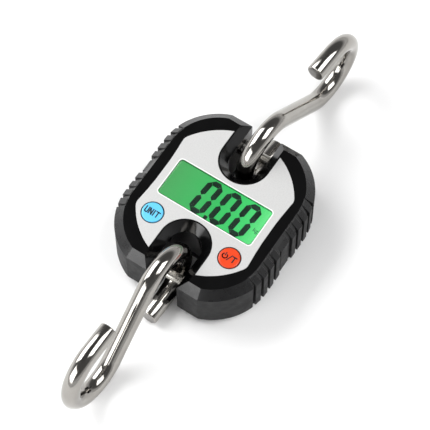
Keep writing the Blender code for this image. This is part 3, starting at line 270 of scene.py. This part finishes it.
def label_outline(grow, steps=28):
    """The label: a waist beside the display, shoulders, and points beside each slot."""
    cut = FUNNEL_HALF_WIDTH + 0.8 - grow
    crown_x, crown_y, crown_radius = LABEL_CROWN
    reach, small = LABEL_SHOULDER
    shoulder_x = reach - small
    shoulder_y = crown_y + math.sqrt((crown_radius - small) ** 2 - (shoulder_x - crown_x) ** 2)
    turn = math.degrees(math.atan2(shoulder_y - crown_y, shoulder_x - crown_x))
    last = math.degrees(math.acos((cut - crown_x) / (crown_radius + grow)))
    lobe = arc((shoulder_x, shoulder_y), small + grow, 0, turn, steps // 2)
    lobe += arc((crown_x, crown_y), crown_radius + grow, turn, last, steps)[1:]
    end = arc((0, SLOT_CENTRE_Y), cut, 0, -90, steps // 2)
    waist = [(LABEL_WAIST + grow, 0.0)] + [(LABEL_WAIST + step + grow, y) for step, y in LABEL_FLARE]
    quarter = waist + lobe + end
    upper = quarter + [(-x, y) for x, y in reversed(quarter[:-1])][:-1]
    return upper + [(-x, -y) for x, y in upper]


# =========================================================================================
# Materials
# =========================================================================================
def material_nodes(name):
    material = bpy.data.materials.new(name)
    material.use_nodes = True
    tree = material.node_tree
    return material, tree, tree.nodes["Principled BSDF"]


def noise(tree, scale, detail=3.0):
    """Noise in object space; scale is in features per metre."""
    place = tree.nodes.new("ShaderNodeTexCoord")
    texture = tree.nodes.new("ShaderNodeTexNoise")
    texture.inputs["Scale"].default_value = scale
    texture.inputs["Detail"].default_value = detail
    tree.links.new(place.outputs["Object"], texture.inputs["Vector"])
    return texture.outputs["Fac"]


def spread(tree, value, low, high, start=0.3, end=0.7):
    """The value's start..end range mapped to low..high."""
    node = tree.nodes.new("ShaderNodeMapRange")
    node.inputs["From Min"].default_value = start
    node.inputs["From Max"].default_value = end
    node.inputs["To Min"].default_value = low
    node.inputs["To Max"].default_value = high
    tree.links.new(value, node.inputs["Value"])
    return node.outputs["Result"]


def bump(tree, shader, height, strength, distance):
    node = tree.nodes.new("ShaderNodeBump")
    node.inputs["Strength"].default_value = strength
    node.inputs["Distance"].default_value = distance * MM
    tree.links.new(height, node.inputs["Height"])
    tree.links.new(node.outputs["Normal"], shader.inputs["Normal"])


def two_tone(tree, shader, value, dark, light):
    """Colour that wanders between two tones."""
    ramp = tree.nodes.new("ShaderNodeMix")
    ramp.data_type = "RGBA"
    ramp.inputs["A"].default_value = (*dark, 1.0)
    ramp.inputs["B"].default_value = (*light, 1.0)
    tree.links.new(value, ramp.inputs["Factor"])
    tree.links.new(ramp.outputs["Result"], shader.inputs["Base Color"])


def plastic(name, dark, light, rough, grain=0.0, specular=0.5):
    """Moulded plastic: rough is (low, high), and grain is the height of its texture in mm."""
    material, tree, shader = material_nodes(name)
    two_tone(tree, shader, spread(tree, noise(tree, 90.0), 0.0, 1.0), dark, light)
    tree.links.new(spread(tree, noise(tree, 260.0, 4.0), *rough), shader.inputs["Roughness"])
    shader.inputs["Specular IOR Level"].default_value = specular
    if grain:
        bump(tree, shader, noise(tree, 2600.0, 2.0), 0.5, grain)
    return material


def metal(name, dark, light, rough, grain=0.0, scale=500.0):
    """Bare or plated metal: rough is (low, high), and grain is the height of its texture in mm."""
    material, tree, shader = material_nodes(name)
    shader.inputs["Metallic"].default_value = 1.0
    two_tone(tree, shader, spread(tree, noise(tree, 120.0), 0.0, 1.0), dark, light)
    tree.links.new(spread(tree, noise(tree, scale, 4.0), *rough), shader.inputs["Roughness"])
    if grain:
        bump(tree, shader, noise(tree, scale * 1.5, 3.0), 0.4, grain)
    return material


def film(name):
    """Silver-grey printed film with a fine metallic fleck."""
    material, tree, shader = material_nodes(name)
    fleck = spread(tree, noise(tree, 1500.0, 2.0), 0.0, 1.0)
    two_tone(tree, shader, fleck, (0.52, 0.52, 0.516), (0.57, 0.57, 0.565))
    tree.links.new(spread(tree, noise(tree, 700.0), 0.36, 0.46), shader.inputs["Roughness"])
    shader.inputs["Metallic"].default_value = 0.12
    bump(tree, shader, noise(tree, 3500.0, 2.0), 0.3, 0.01)
    return material


def lit_display(name):
    """Backlit liquid crystal: deeper green at the left, paler towards the lamp at the right."""
    material, tree, shader = material_nodes(name)
    place = tree.nodes.new("ShaderNodeTexCoord")
    split = tree.nodes.new("ShaderNodeSeparateXYZ")
    tree.links.new(place.outputs["Object"], split.inputs["Vector"])
    across = spread(tree, split.outputs["X"], 0.0, 1.0, -WINDOW[0] * MM, WINDOW[0] * MM)
    ramp = tree.nodes.new("ShaderNodeValToRGB")
    stops = ((0.0, (0.073, 0.402, 0.114)), (0.55, (0.030, 0.560, 0.120)), (0.85, (0.055, 0.700, 0.170)),
             (1.0, (0.150, 0.850, 0.270)))
    ramp.color_ramp.elements[0].position = stops[0][0]
    ramp.color_ramp.elements[0].color = (*stops[0][1], 1.0)
    ramp.color_ramp.elements[1].position = stops[-1][0]
    ramp.color_ramp.elements[1].color = (*stops[-1][1], 1.0)
    for position, colour in stops[1:-1]:
        ramp.color_ramp.elements.new(position).color = (*colour, 1.0)
    tree.links.new(across, ramp.inputs["Fac"])
    tree.links.new(ramp.outputs["Color"], shader.inputs["Emission Color"])
    shader.inputs["Emission Strength"].default_value = 1.0
    shader.inputs["Base Color"].default_value = (0.01, 0.03, 0.015, 1.0)
    tree.links.new(spread(tree, noise(tree, 300.0), 0.30, 0.40), shader.inputs["Roughness"])
    return material


def clear(name):
    """Clear polished plastic."""
    material, tree, shader = material_nodes(name)
    shader.inputs["Base Color"].default_value = (0.97, 1.0, 0.98, 1.0)
    shader.inputs["Transmission Weight"].default_value = 1.0
    shader.inputs["IOR"].default_value = 1.47
    tree.links.new(spread(tree, noise(tree, 150.0), 0.0, 0.03), shader.inputs["Roughness"])
    return material


DEEP_TONES = ((0.0015, 0.0015, 0.0016), (0.0025, 0.0025, 0.0027))
BLACK_TONES = ((0.006, 0.006, 0.0062), (0.010, 0.010, 0.0105))
GLOSS_BLACK = plastic("gloss_black", *DEEP_TONES, (0.10, 0.16), 0.0, 0.45)
SATIN_BLACK = plastic("satin_black", *BLACK_TONES, (0.24, 0.34), 0.008, 0.45)
WALL_BLACK = plastic("wall_black", *BLACK_TONES, (0.45, 0.58), 0.014, 0.18)
LABEL_FILM = film("silver_film")
BORDER_WHITE = plastic("border_white", (0.80, 0.82, 0.80), (0.86, 0.87, 0.86), (0.35, 0.45))
DISPLAY = lit_display("lit_display")
DIGIT_INK = plastic("digit_ink", (0.0008, 0.022, 0.012), (0.0012, 0.030, 0.016), (0.30, 0.40))
FAINT_INK = plastic("faint_ink", (0.012, 0.17, 0.055), (0.014, 0.19, 0.060), (0.30, 0.40))
CLEAR = clear("clear_lens")
BLUE = plastic("sky_blue", (0.11, 0.50, 0.80), (0.13, 0.55, 0.86), (0.28, 0.38), 0.004)
ORANGE = plastic("orange_red", (0.66, 0.048, 0.008), (0.72, 0.056, 0.010), (0.28, 0.38), 0.004)
# Dark legend print on the buttons; the same colour is also the painted shade of the gap round each button.
INK_AND_GAP_SHADE = plastic("legend_ink_and_gap_shade", (0.008, 0.010, 0.014), (0.012, 0.014, 0.018), (0.35, 0.5))
CHROME = metal("polished_chrome", (0.33, 0.315, 0.295), (0.38, 0.365, 0.34), (0.09, 0.15), 0.002)
CUT_STEEL = metal("cut_steel", (0.22, 0.21, 0.20), (0.30, 0.29, 0.28), (0.26, 0.38), 0.012, scale=1200.0)
# Nickel plate, its tone darkened as painted shade: the pins and collars sit in the shadow of the slots.
SHADED_NICKEL = metal("nickel_plate_with_painted_shade", (0.34, 0.33, 0.31), (0.42, 0.41, 0.38), (0.20, 0.32), 0.006)
ZINC = metal("zinc_plate", (0.55, 0.56, 0.57), (0.68, 0.69, 0.69), (0.22, 0.36), 0.010)
ALUMINIUM = metal("machined_aluminium", (0.74, 0.74, 0.74), (0.82, 0.82, 0.82), (0.26, 0.38), 0.010)


# =========================================================================================
# Case
# =========================================================================================
def slot_cutter(low, high):
    """The upper slot with its funnel mouth, as a solid to cut with."""
    outer = CASE_HALF_LENGTH + 10.0
    slope = (FUNNEL_HALF_WIDTH - SLOT_HALF_WIDTH) / FUNNEL_DEPTH
    wide = FUNNEL_HALF_WIDTH + slope * (high - CASE_DEPTH)
    return loft("slot", [(slot_outline(SLOT_HALF_WIDTH, outer), low),
                         (slot_outline(SLOT_HALF_WIDTH, outer), CASE_DEPTH - FUNNEL_DEPTH),
                         (slot_outline(wide, outer), high)])


def slot_wall():
    """The wall inside the case round the upper slot, before the slot is cut out of it."""
    wide = SLOT_HALF_WIDTH + SLOT_WALL
    outer = CASE_HALF_LENGTH - 1.8
    return loft("slot_wall", [(slot_outline(wide, outer), COVER_LOW_Z),
                              (slot_outline(wide, outer), SLOT_WALL_STEP_Z),
                              (slot_outline(wide + 3.0, outer - 0.8), SKIN_Z + 0.4)])


def finish_of(face):
    """0 gloss face and funnels, 1 satin chamfer, 2 matt wall."""
    x, y = abs(face.center.x / MM), abs(face.center.y / MM)
    in_slot = x < FUNNEL_HALF_WIDTH + 0.2 and y > SLOT_CENTRE_Y - FUNNEL_HALF_WIDTH - 0.2
    outside = x > side_x(y) - CHAMFER_WIDTH - 0.4 or y > CASE_HALF_LENGTH - CHAMFER_WIDTH - 0.4
    if face.normal.z > 0.97 or not outside or (in_slot and abs(face.normal.y) < 0.6):
        return 0
    return 1 if face.normal.z > 0.3 else 2


def button_place(side):
    return Matrix.Translation((side * BUTTON_X * MM, BUTTON_Y * MM, 0))


def button_hole(side, low, high):
    """The hole round a button's cap, as a solid to cut with."""
    radius = BUTTON_RADIUS + BUTTON_GAP
    hole = turned("hole", [(radius, low), (radius, high)])
    hole.transform(button_place(side))
    return hole


def make_front_shell():
    """The front cover: chamfered outside, hollow inside, with its slots, recess and holes."""
    mesh = loft("front_shell", [
        (case_outline(0, GROOVE_DEPTH), COVER_LOW_Z),
        (case_outline(0, GROOVE_DEPTH), CHAMFER_Z - 0.1),
        (case_outline(CHAMFER_WIDTH, 0.3), CASE_DEPTH),
    ])
    shell = new_object("front_shell", mesh)
    combine(shell, "DIFFERENCE", loft("cavity", [
        (case_outline(CAVITY_INSET), COVER_LOW_Z - 1.0),
        (case_outline(CAVITY_INSET), CAVITY_STEP_Z),
        (case_outline(CAVITY_INSET + CAVITY_STEP), SKIN_Z),
    ]))
    for turn in (False, True):
        wall = slot_wall()
        combine(shell, "UNION", turned_round(wall) if turn else wall)
    for turn in (False, True):
        cutter = slot_cutter(COVER_LOW_Z - 1.0, CASE_DEPTH + 1.0)
        combine(shell, "DIFFERENCE", turned_round(cutter) if turn else cutter)
    combine(shell, "DIFFERENCE", prism("recess", label_outline(0.3), RECESS_Z, CASE_DEPTH + 1.0))
    window = rounded_box(WINDOW[0] + 0.1, WINDOW[1] + 0.1, WINDOW[2])
    combine(shell, "DIFFERENCE", prism("window", window, SKIN_Z - 1.0, CASE_DEPTH))
    pocket = rounded_box(LENS[0] + 0.3, LENS[1] + 0.3, LENS[2])
    combine(shell, "DIFFERENCE", prism("pocket", pocket, SKIN_Z + 0.6, CASE_DEPTH))
    for side in (1, -1):
        combine(shell, "DIFFERENCE", button_hole(side, SKIN_Z - 1.0, CASE_DEPTH))
    for end in (1, -1):
        reach = SLOT_HALF_WIDTH + SLOT_WALL + 1.0
        hole = turned("pin_hole", [(PIN_RADIUS + 0.3, -reach), (PIN_RADIUS + 0.3, reach)])
        place = Matrix.Translation((0, end * PIN_Y * MM, PIN_Z * MM))
        hole.transform(place @ Matrix.Rotation(math.pi / 2, 4, "Y"))
        combine(shell, "DIFFERENCE", hole)
    for material in (GLOSS_BLACK, SATIN_BLACK, WALL_BLACK):
        shell.data.materials.append(material)
    for face in shell.data.polygons:
        face.material_index = finish_of(face)
    soften(shell, 0.35)
    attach(shell, "case")
    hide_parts("front_cover")


def rib_section(surface_x, drop):
    """A rib in X and Z: outer wall, chamfer, and an inner side buried in the shell."""
    x = surface_x - drop
    return [(x - 3.4, COVER_LOW_Z + 0.05), (x, COVER_LOW_Z), (x, CHAMFER_Z - 0.4 * drop),
            (x - CHAMFER_WIDTH + 0.15, CASE_DEPTH - 0.06 * drop),
            (x - CHAMFER_WIDTH - 0.9, CASE_DEPTH - 0.5)]


def make_ribs():
    """The grip: four ribs each side of a wider pad, on both sides of the case."""
    mesh = bpy.data.meshes.new("grip_ribs")
    shape = bmesh.new()
    spans = [(-PAD_HALF, PAD_HALF, PAD_DROP)]
    for index in range(RIB_COUNT):
        middle = FIRST_RIB_Y + RIB_PITCH * index
        spans.append((middle - RIB_WIDTH / 2, middle + RIB_WIDTH / 2, 0.0))
        spans.append((-middle - RIB_WIDTH / 2, -middle + RIB_WIDTH / 2, 0.0))
    for side in (1, -1):
        for low, high, drop in spans:
            ends = []
            for y in (low, high):
                section = rib_section(side_x(y), drop)
                ends.append([shape.verts.new((side * x * MM, y * MM, z * MM)) for x, z in section])
            bridge(shape, *ends)
            shape.faces.new(list(reversed(ends[0])))
            shape.faces.new(ends[1])
    bmesh.ops.recalc_face_normals(shape, faces=shape.faces)
    for face in shape.faces:
        face.material_index = 0 if face.normal.z > 0.3 else 1
    shape.to_mesh(mesh)
    shape.free()
    ribs = new_object("grip_ribs", mesh, (SATIN_BLACK, WALL_BLACK))
    soften(ribs, 0.32)
    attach(ribs, "case")


# =========================================================================================
# Label, display and buttons
# =========================================================================================
def make_label():
    """The printed film on the front, with the window and the buttons cut out."""
    label = new_object("silver_label", prism("silver_label", label_outline(0), *LABEL_Z), (LABEL_FILM,))
    combine(label, "DIFFERENCE", prism("window", rounded_box(*WINDOW), *LABEL_CUT_Z))
    for side in (1, -1):
        combine(label, "DIFFERENCE", button_hole(side, *LABEL_CUT_Z))
    soften(label, 0.08, segments=2)
    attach(label, "case")
    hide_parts("face_label")


def flat_piece(name, shapes, low, material, body):
    """Thin printed shapes: each is a list of (x, y) points, anticlockwise."""
    shape = bmesh.new()
    for points in shapes:
        rings = []
        for z in (low, low + INK_THICKNESS):
            rings.append([shape.verts.new((x * MM, y * MM, z * MM)) for x, y in points])
        bridge(shape, *rings)
        shape.faces.new(list(reversed(rings[0])))
        shape.faces.new(rings[1])
    item = new_object(name, finished(name, shape), (material,))
    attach(item, body)


def segment(start, end, half, slant):
    """One bar of a digit, pointed at both ends, leaning with the digit."""
    (x0, y0), (x1, y1) = start, end
    length = math.hypot(x1 - x0, y1 - y0)
    ux, uy = (x1 - x0) / length, (y1 - y0) / length
    points = []
    outline = ((0, 0), (half, -half), (length - half, -half),
               (length, 0), (length - half, half), (half, half))
    for along, across in outline:
        x = x0 + ux * along - uy * across
        y = y0 + uy * along + ux * across
        points.append((x + slant * y, y))
    return points


def zero(middle, half_width, half_height, half, gap, slant):
    """The six lit bars of a nought, half being half of a bar's width."""
    left, right = -half_width + half, half_width - half
    top, bottom = half_height - half, -half_height + half
    bars = [((left + gap, top), (right - gap, top)), ((left + gap, bottom), (right - gap, bottom))]
    for x in (left, right):
        bars.append(((x, gap), (x, top - gap)))
        bars.append(((x, bottom + gap), (x, -gap)))
    return [[(x + middle, y) for x, y in segment(a, b, half, slant)] for a, b in bars]


def make_display():
    """The lit panel, the clear lens, the digits and the white line round the window."""
    ink_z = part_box("lcd_panel")[1].z / MM + INK_LIFT
    paint("lcd_panel", DISPLAY)
    paint("display_lens", CLEAR)
    shapes = []
    for middle in DIGIT_MIDDLES:
        shapes += zero(middle, DIGIT_HALF_WIDTH, DIGIT_HALF_HEIGHT, BAR_HALF_WIDTH, BAR_GAP, DIGIT_SLANT)
    dot = rounded_box(0.95, 0.95, 0.3, 3)
    shapes.append([(x + 0.2, y - 8.9) for x, y in dot])
    flat_piece("display_digits", shapes, ink_z, DIGIT_INK, "case")
    unit = words("kg", 3.0)
    flat_words("display_unit", unit, (22.6, -2.6, ink_z), FAINT_INK, "case")
    outline = rounded_box(WINDOW[0] + 0.45, WINDOW[1] + 0.45, WINDOW[2] + 0.3)
    border = new_object("window_border", prism("window_border", outline, 29.904, 30.004), (BORDER_WHITE,))
    window = rounded_box(WINDOW[0] - 0.02, WINDOW[1] - 0.02, WINDOW[2])
    combine(border, "DIFFERENCE", prism("window", window, *LABEL_CUT_Z))
    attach(border, "case")


def words(text, size):
    """The mesh of a short word, size mm high."""
    curve = bpy.data.curves.new(text, "FONT")
    curve.body = text
    curve.size = size * MM
    curve.extrude = 0.015 * MM
    curve.offset = 0.02 * MM
    item = bpy.data.objects.new("words", curve)
    bpy.context.scene.collection.objects.link(item)
    bpy.context.view_layer.update()
    graph = bpy.context.evaluated_depsgraph_get()
    mesh = bpy.data.meshes.new_from_object(item.evaluated_get(graph))
    bpy.data.objects.remove(item, do_unlink=True)
    return mesh


def flat_words(name, mesh, place, material, body):
    mesh.transform(Matrix.Translation(Vector(place) * MM))
    mesh.materials.clear()
    item = new_object(name, mesh, (material,))
    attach(item, body)


def stroke(points, width):
    """A line of the given width through points, as quads that overlap at the corners."""
    shapes = []
    for (x0, y0), (x1, y1) in zip(points, points[1:]):
        length = math.hypot(x1 - x0, y1 - y0)
        ux, uy = (x1 - x0) / length, (y1 - y0) / length
        ox, oy = -uy * width / 2, ux * width / 2
        ex, ey = ux * width * 0.3, uy * width * 0.3
        shapes.append([(x0 - ex - ox, y0 - ey - oy), (x1 + ex - ox, y1 + ey - oy),
                       (x1 + ex + ox, y1 + ey + oy), (x0 - ex + ox, y0 - ey + oy)])
    return shapes


def unit_legend():
    """The word on the left button, in plain strokes."""
    high = 1.55
    letters = {
        "U": [(-0.72, high), (-0.72, -0.9), (-0.4, -1.45), (0.4, -1.45), (0.72, -0.9), (0.72, high)],
        "N": [(-0.72, -high), (-0.72, high), (0.72, -high), (0.72, high)],
        "I": [(0, -high), (0, high)],
    }
    shapes = []
    for letter, x in (("U", -3.05), ("N", -0.85), ("I", 0.85)):
        shapes += stroke([(px + x, py) for px, py in letters[letter]], UNIT_STROKE)
    shapes += stroke([(1.65, high - 0.15), (3.75, high - 0.15)], UNIT_STROKE)
    shapes += stroke([(2.7, high - 0.2), (2.7, -high)], UNIT_STROKE)
    return shapes


def power_legend():
    """A power mark, a stroke and a T."""
    shapes = []
    ring = arc((-2.35, -0.2), 1.25, 128, 412, 18)
    shapes += stroke(ring, POWER_STROKE)
    shapes += stroke([(-2.35, 0.1), (-2.35, 1.65)], POWER_STROKE)
    shapes += stroke([(-0.65, -1.7), (0.85, 1.7)], POWER_STROKE)
    shapes += stroke([(1.35, 1.4), (3.45, 1.4)], T_STROKE)
    shapes += stroke([(2.4, 1.35), (2.4, -1.55)], T_STROKE)
    return shapes


def shifted(shapes, x, y):
    return [[(px + x, py + y) for px, py in points] for points in shapes]


def make_button(name, side, material, legend):
    """A button's cap with its legend, and a dark ring on the label round it: painted shade of the gap round
    the cap.
    """
    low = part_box(name)[0].z / MM
    flange, thickness = BUTTON_FLANGE
    profile = [(flange, low), (flange, low + thickness), (BUTTON_RADIUS, low + thickness)]
    profile += [(BUTTON_RADIUS - inset, BUTTON_TOP - drop) for inset, drop in CAP_EDGE]
    cap = new_object(name + "_cap", turned(name + "_cap", profile), (material,))
    cap.data.transform(button_place(side))
    cap.data.shade_smooth()
    cap.data.set_sharp_from_angle(angle=math.radians(40))
    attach(cap, name)
    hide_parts(name)
    # The dark ring is painted shade: it darkens the label just round the gap, where shade falls, in the
    # legend's colour.
    low_z, high_z = LABEL_Z[1] - 0.05, LABEL_Z[1] + 0.02
    outer, inner = BUTTON_RADIUS + 0.55, BUTTON_RADIUS + 0.26
    disc = turned(name + "_edge", [(outer, low_z), (outer, high_z)])
    edge = new_object(name + "_edge", disc, (INK_AND_GAP_SHADE,))
    combine(edge, "DIFFERENCE", turned("hole", [(inner, low_z - 1.0), (inner, high_z + 1.0)]))
    edge.data.transform(button_place(side))
    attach(edge, "case")
    shapes = shifted(legend, side * BUTTON_X, BUTTON_Y)
    flat_piece(name + "_legend", shapes, BUTTON_TOP - INK_THICKNESS, INK_AND_GAP_SHADE, name)


# =========================================================================================
# Hooks
# =========================================================================================
def hook_path():
    """The rod's middle line in Y and Z, from the eye's tail to the tip, eye centre at zero."""
    bowl = (HOOK_SPAN, BOWL_RADIUS - EYE_RADIUS)
    distance = math.hypot(*bowl)
    leave = math.degrees(math.atan2(bowl[1], bowl[0]) + math.acos((EYE_RADIUS + BOWL_RADIUS) / distance))
    path = [(EYE_TAIL, -EYE_RADIUS)] + arc((0, 0), EYE_RADIUS, 270, leave, 72)
    path += arc(bowl, BOWL_RADIUS, leave - 180, 90, 84)
    path.append((bowl[0] - BOWL_TAIL, bowl[1] + BOWL_RADIUS))
    return path


def end_rings(point, outward):
    """Rings that round a cut end over: (centre, radius), from the flat to the rod's side."""
    rings = []
    for back, inset in ROD_END:
        centre = (point[0] - outward[0] * back, point[1] - outward[1] * back)
        rings.append((centre, ROD_RADIUS - inset))
    return rings


def unit_vector(start, end):
    length = math.hypot(end[0] - start[0], end[1] - start[1])
    return ((end[0] - start[0]) / length, (end[1] - start[1]) / length)


def hook_mesh(name, steps=48):
    """The rod swept along its path, with its cut ends rounded over."""
    path = hook_path()
    first = unit_vector(path[1], path[0])
    last = unit_vector(path[-2], path[-1])
    rings = end_rings(path[0], first)
    rings += [(point, ROD_RADIUS) for point in path[1:-1]]
    rings += list(reversed(end_rings(path[-1], last)))
    shape = bmesh.new()
    loops = []
    for index, (centre, radius) in enumerate(rings):
        before = rings[max(0, index - 1)][0]
        after = rings[min(len(rings) - 1, index + 1)][0]
        if index < len(ROD_END):
            along = (-first[0], -first[1])
        elif index >= len(rings) - len(ROD_END):
            along = last
        else:
            along = unit_vector(before, after)
        across = (-along[1], along[0])
        loop = []
        for step in range(steps):
            angle = math.tau * step / steps
            y = centre[0] + across[0] * radius * math.sin(angle)
            z = centre[1] + across[1] * radius * math.sin(angle)
            loop.append(shape.verts.new((radius * math.cos(angle) * MM, y * MM, z * MM)))
        loops.append(loop)
    for low, high in zip(loops, loops[1:]):
        bridge(shape, low, high)
    for cap in (shape.faces.new(list(reversed(loops[0]))), shape.faces.new(loops[-1])):
        cap.material_index = 1
    return finished(name, shape)


def make_hook(name, end, lie):
    """A polished S-hook at one end of the scale, as it lies in its slot."""
    run, shift, turn, lean = lie
    mesh = hook_mesh(name + "_rod")
    half_turn = 0 if end > 0 else math.pi
    place = Matrix.Translation(Vector((end * shift, end * (PIN_Y + run), ROD_RADIUS + EYE_RADIUS)) * MM)
    turned_by = Matrix.Rotation(half_turn - math.radians(turn), 4, "Z")
    mesh.transform(place @ turned_by @ Matrix.Rotation(math.radians(lean), 4, "Y"))
    hook = new_object(name + "_rod", mesh, (CHROME, CUT_STEEL))
    hook.data.shade_smooth()
    hook.data.set_sharp_from_angle(angle=math.radians(35))
    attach(hook, name)
    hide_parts(name)


# =========================================================================================
# Frame nodes that keep their shape
# =========================================================================================
def paint(node, material, bevel=0.0):
    """Gives a frame node its material, and rounds its edges if bevel is given."""
    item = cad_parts[node]
    item.data.materials.clear()
    item.data.materials.append(material)
    if bevel:
        modifier = item.modifiers.new("rounded_edges", "BEVEL")
        modifier.width = bevel * MM
        modifier.segments = 2
        modifier.limit_method = "ANGLE"
        modifier.angle_limit = math.radians(30)
        modifier.harden_normals = True


# Nodes given the darkened nickel, whose low tone is painted shade for the pins and collars in the slots.
SHADED_NICKEL_WORDS = ("pin", "collar", "contact", "spring", "crystal")
ZINC_WORDS = ("screw", "switch", "clip", "yoke")


def paint_frame():
    """Materials for the frame nodes that keep their shape. Later calls win."""
    paint("back_cover", WALL_BLACK)
    paint("battery_door", SATIN_BLACK, 0.2)
    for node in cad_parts:
        if any(word in node for word in ZINC_WORDS):
            paint(node, ZINC)
        elif any(word in node for word in SHADED_NICKEL_WORDS):
            paint(node, SHADED_NICKEL)
    paint("load_cell", ALUMINIUM)
    paint("strain_gauge", plastic("amber_foil", (0.55, 0.30, 0.08), (0.75, 0.48, 0.16), (0.30, 0.45)))
    paint("main_board", plastic("solder_mask", (0.010, 0.13, 0.045), (0.016, 0.19, 0.07), (0.25, 0.4), 0.01))
    chip_tones = ((0.012, 0.012, 0.012), (0.022, 0.022, 0.022))
    for node in ("processor_chip", "converter_chip", "memory_chip",
                 "unit_switch_plunger", "power_switch_plunger"):
        paint(node, plastic("moulded_black_" + node, *chip_tones, (0.45, 0.6), 0.01))
    paint("lcd_frame", BORDER_WHITE)
    paint("lcd_backlight", plastic("light_guide", (0.30, 0.85, 0.40), (0.36, 0.92, 0.46), (0.2, 0.3)))
    for node in ("upper_zebra_strip", "lower_zebra_strip"):
        paint(node, plastic("silicone_" + node, (0.60, 0.22, 0.28), (0.72, 0.32, 0.38), (0.5, 0.7)))
    for node in ("battery_1", "battery_2"):
        paint(node, plastic("sleeve_" + node, (0.03, 0.09, 0.24), (0.04, 0.12, 0.30), (0.22, 0.34)))
    paint("positive_wire", plastic("red_insulation", (0.50, 0.01, 0.01), (0.62, 0.02, 0.02), (0.35, 0.5)))
    black_wire_tones = ((0.012, 0.012, 0.012), (0.02, 0.02, 0.02))
    paint("negative_wire", plastic("black_insulation", *black_wire_tones, (0.35, 0.5)))
    paint("gauge_wires", plastic("grey_insulation", (0.28, 0.28, 0.29), (0.36, 0.36, 0.37), (0.35, 0.5)))


# =========================================================================================
# Stage, light and camera
# =========================================================================================
def make_floor():
    mesh = bpy.data.meshes.new("floor")
    shape = bmesh.new()
    bmesh.ops.create_grid(shape, x_segments=1, y_segments=1, size=3.0)
    shape.to_mesh(mesh)
    shape.free()
    material, tree, shader = material_nodes("pale_floor")
    two_tone(tree, shader, spread(tree, noise(tree, 3.0), 0.0, 1.0), (0.90, 0.90, 0.90), (0.92, 0.92, 0.92))
    shader.inputs["Roughness"].default_value = 0.9
    shader.inputs["Specular IOR Level"].default_value = 0.1
    floor = new_object("floor", mesh, (material,))
    floor.location.z = -0.05 * MM


def make_world():
    """Bright at the horizon and below it, dim overhead, by a ramp over the sine of the elevation."""
    world = bpy.data.worlds.new("studio")
    bpy.context.scene.world = world
    world.use_nodes = True
    tree = world.node_tree
    place = tree.nodes.new("ShaderNodeTexCoord")
    split = tree.nodes.new("ShaderNodeSeparateXYZ")
    tree.links.new(place.outputs["Generated"], split.inputs["Vector"])
    ramp = tree.nodes.new("ShaderNodeValToRGB")
    ramp.color_ramp.elements[0].position = 0.0
    ramp.color_ramp.elements[0].color = (1.0, 1.0, 1.0, 1.0)
    ramp.color_ramp.elements[1].position = 1.0
    ramp.color_ramp.elements[1].color = (0.13, 0.13, 0.13, 1.0)
    ramp.color_ramp.elements.new(0.20).color = (0.90, 0.90, 0.91, 1.0)
    ramp.color_ramp.elements.new(0.42).color = (0.18, 0.18, 0.18, 1.0)
    tree.links.new(split.outputs["Z"], ramp.inputs["Fac"])
    tree.links.new(ramp.outputs["Color"], tree.nodes["Background"].inputs["Color"])
    tree.nodes["Background"].inputs["Strength"].default_value = 0.85


def add_panel(name, direction, distance, size, power):
    """A soft light panel that faces the scale."""
    light = bpy.data.lights.new(name, "AREA")
    light.shape = "RECTANGLE"
    light.size, light.size_y = size
    light.energy = power
    item = bpy.data.objects.new(name, light)
    back = Vector(direction).normalized()
    item.location = back * distance
    item.rotation_mode = "QUATERNION"
    item.rotation_quaternion = back.to_track_quat("Z", "Y")
    bpy.context.scene.collection.objects.link(item)


def make_camera():
    azimuth, elevation, distance = math.radians(33.288), math.radians(63.52), 0.9
    level = math.cos(elevation)
    back = Vector((math.sin(azimuth) * level, -math.cos(azimuth) * level, math.sin(elevation)))
    data = bpy.data.cameras.new("camera")
    data.sensor_width = 36.0
    data.lens = 158.77
    data.shift_x = -0.00035
    data.shift_y = -0.03105
    data.clip_start, data.clip_end = 0.01, 20.0
    camera = bpy.data.objects.new("camera", data)
    camera.location = Vector((0, 0, CASE_DEPTH * MM)) + back * distance
    camera.rotation_mode = "QUATERNION"
    camera.rotation_quaternion = (-back).to_track_quat("-Z", "Y")
    bpy.context.scene.collection.objects.link(camera)
    bpy.context.scene.camera = camera


make_camera()
make_world()
make_floor()
add_panel("key_panel", (-0.85, 0.0, 0.72), 1.3, (1.0, 0.9), 18.0)
add_panel("front_panel", (-0.30, -0.95, 0.50), 1.3, (1.1, 0.7), 11.0)
add_panel("top_panel", (0.60, 0.25, 1.0), 1.5, (0.9, 0.9), 14.0)
bpy.context.scene.view_settings.view_transform = "Standard"

paint_frame()
make_front_shell()
make_ribs()
make_label()
make_display()
make_button("unit_button", -1, BLUE, unit_legend())
make_button("power_button", 1, ORANGE, power_legend())
make_hook("upper_hook", 1, UPPER_LIE)
make_hook("lower_hook", -1, LOWER_LIE)
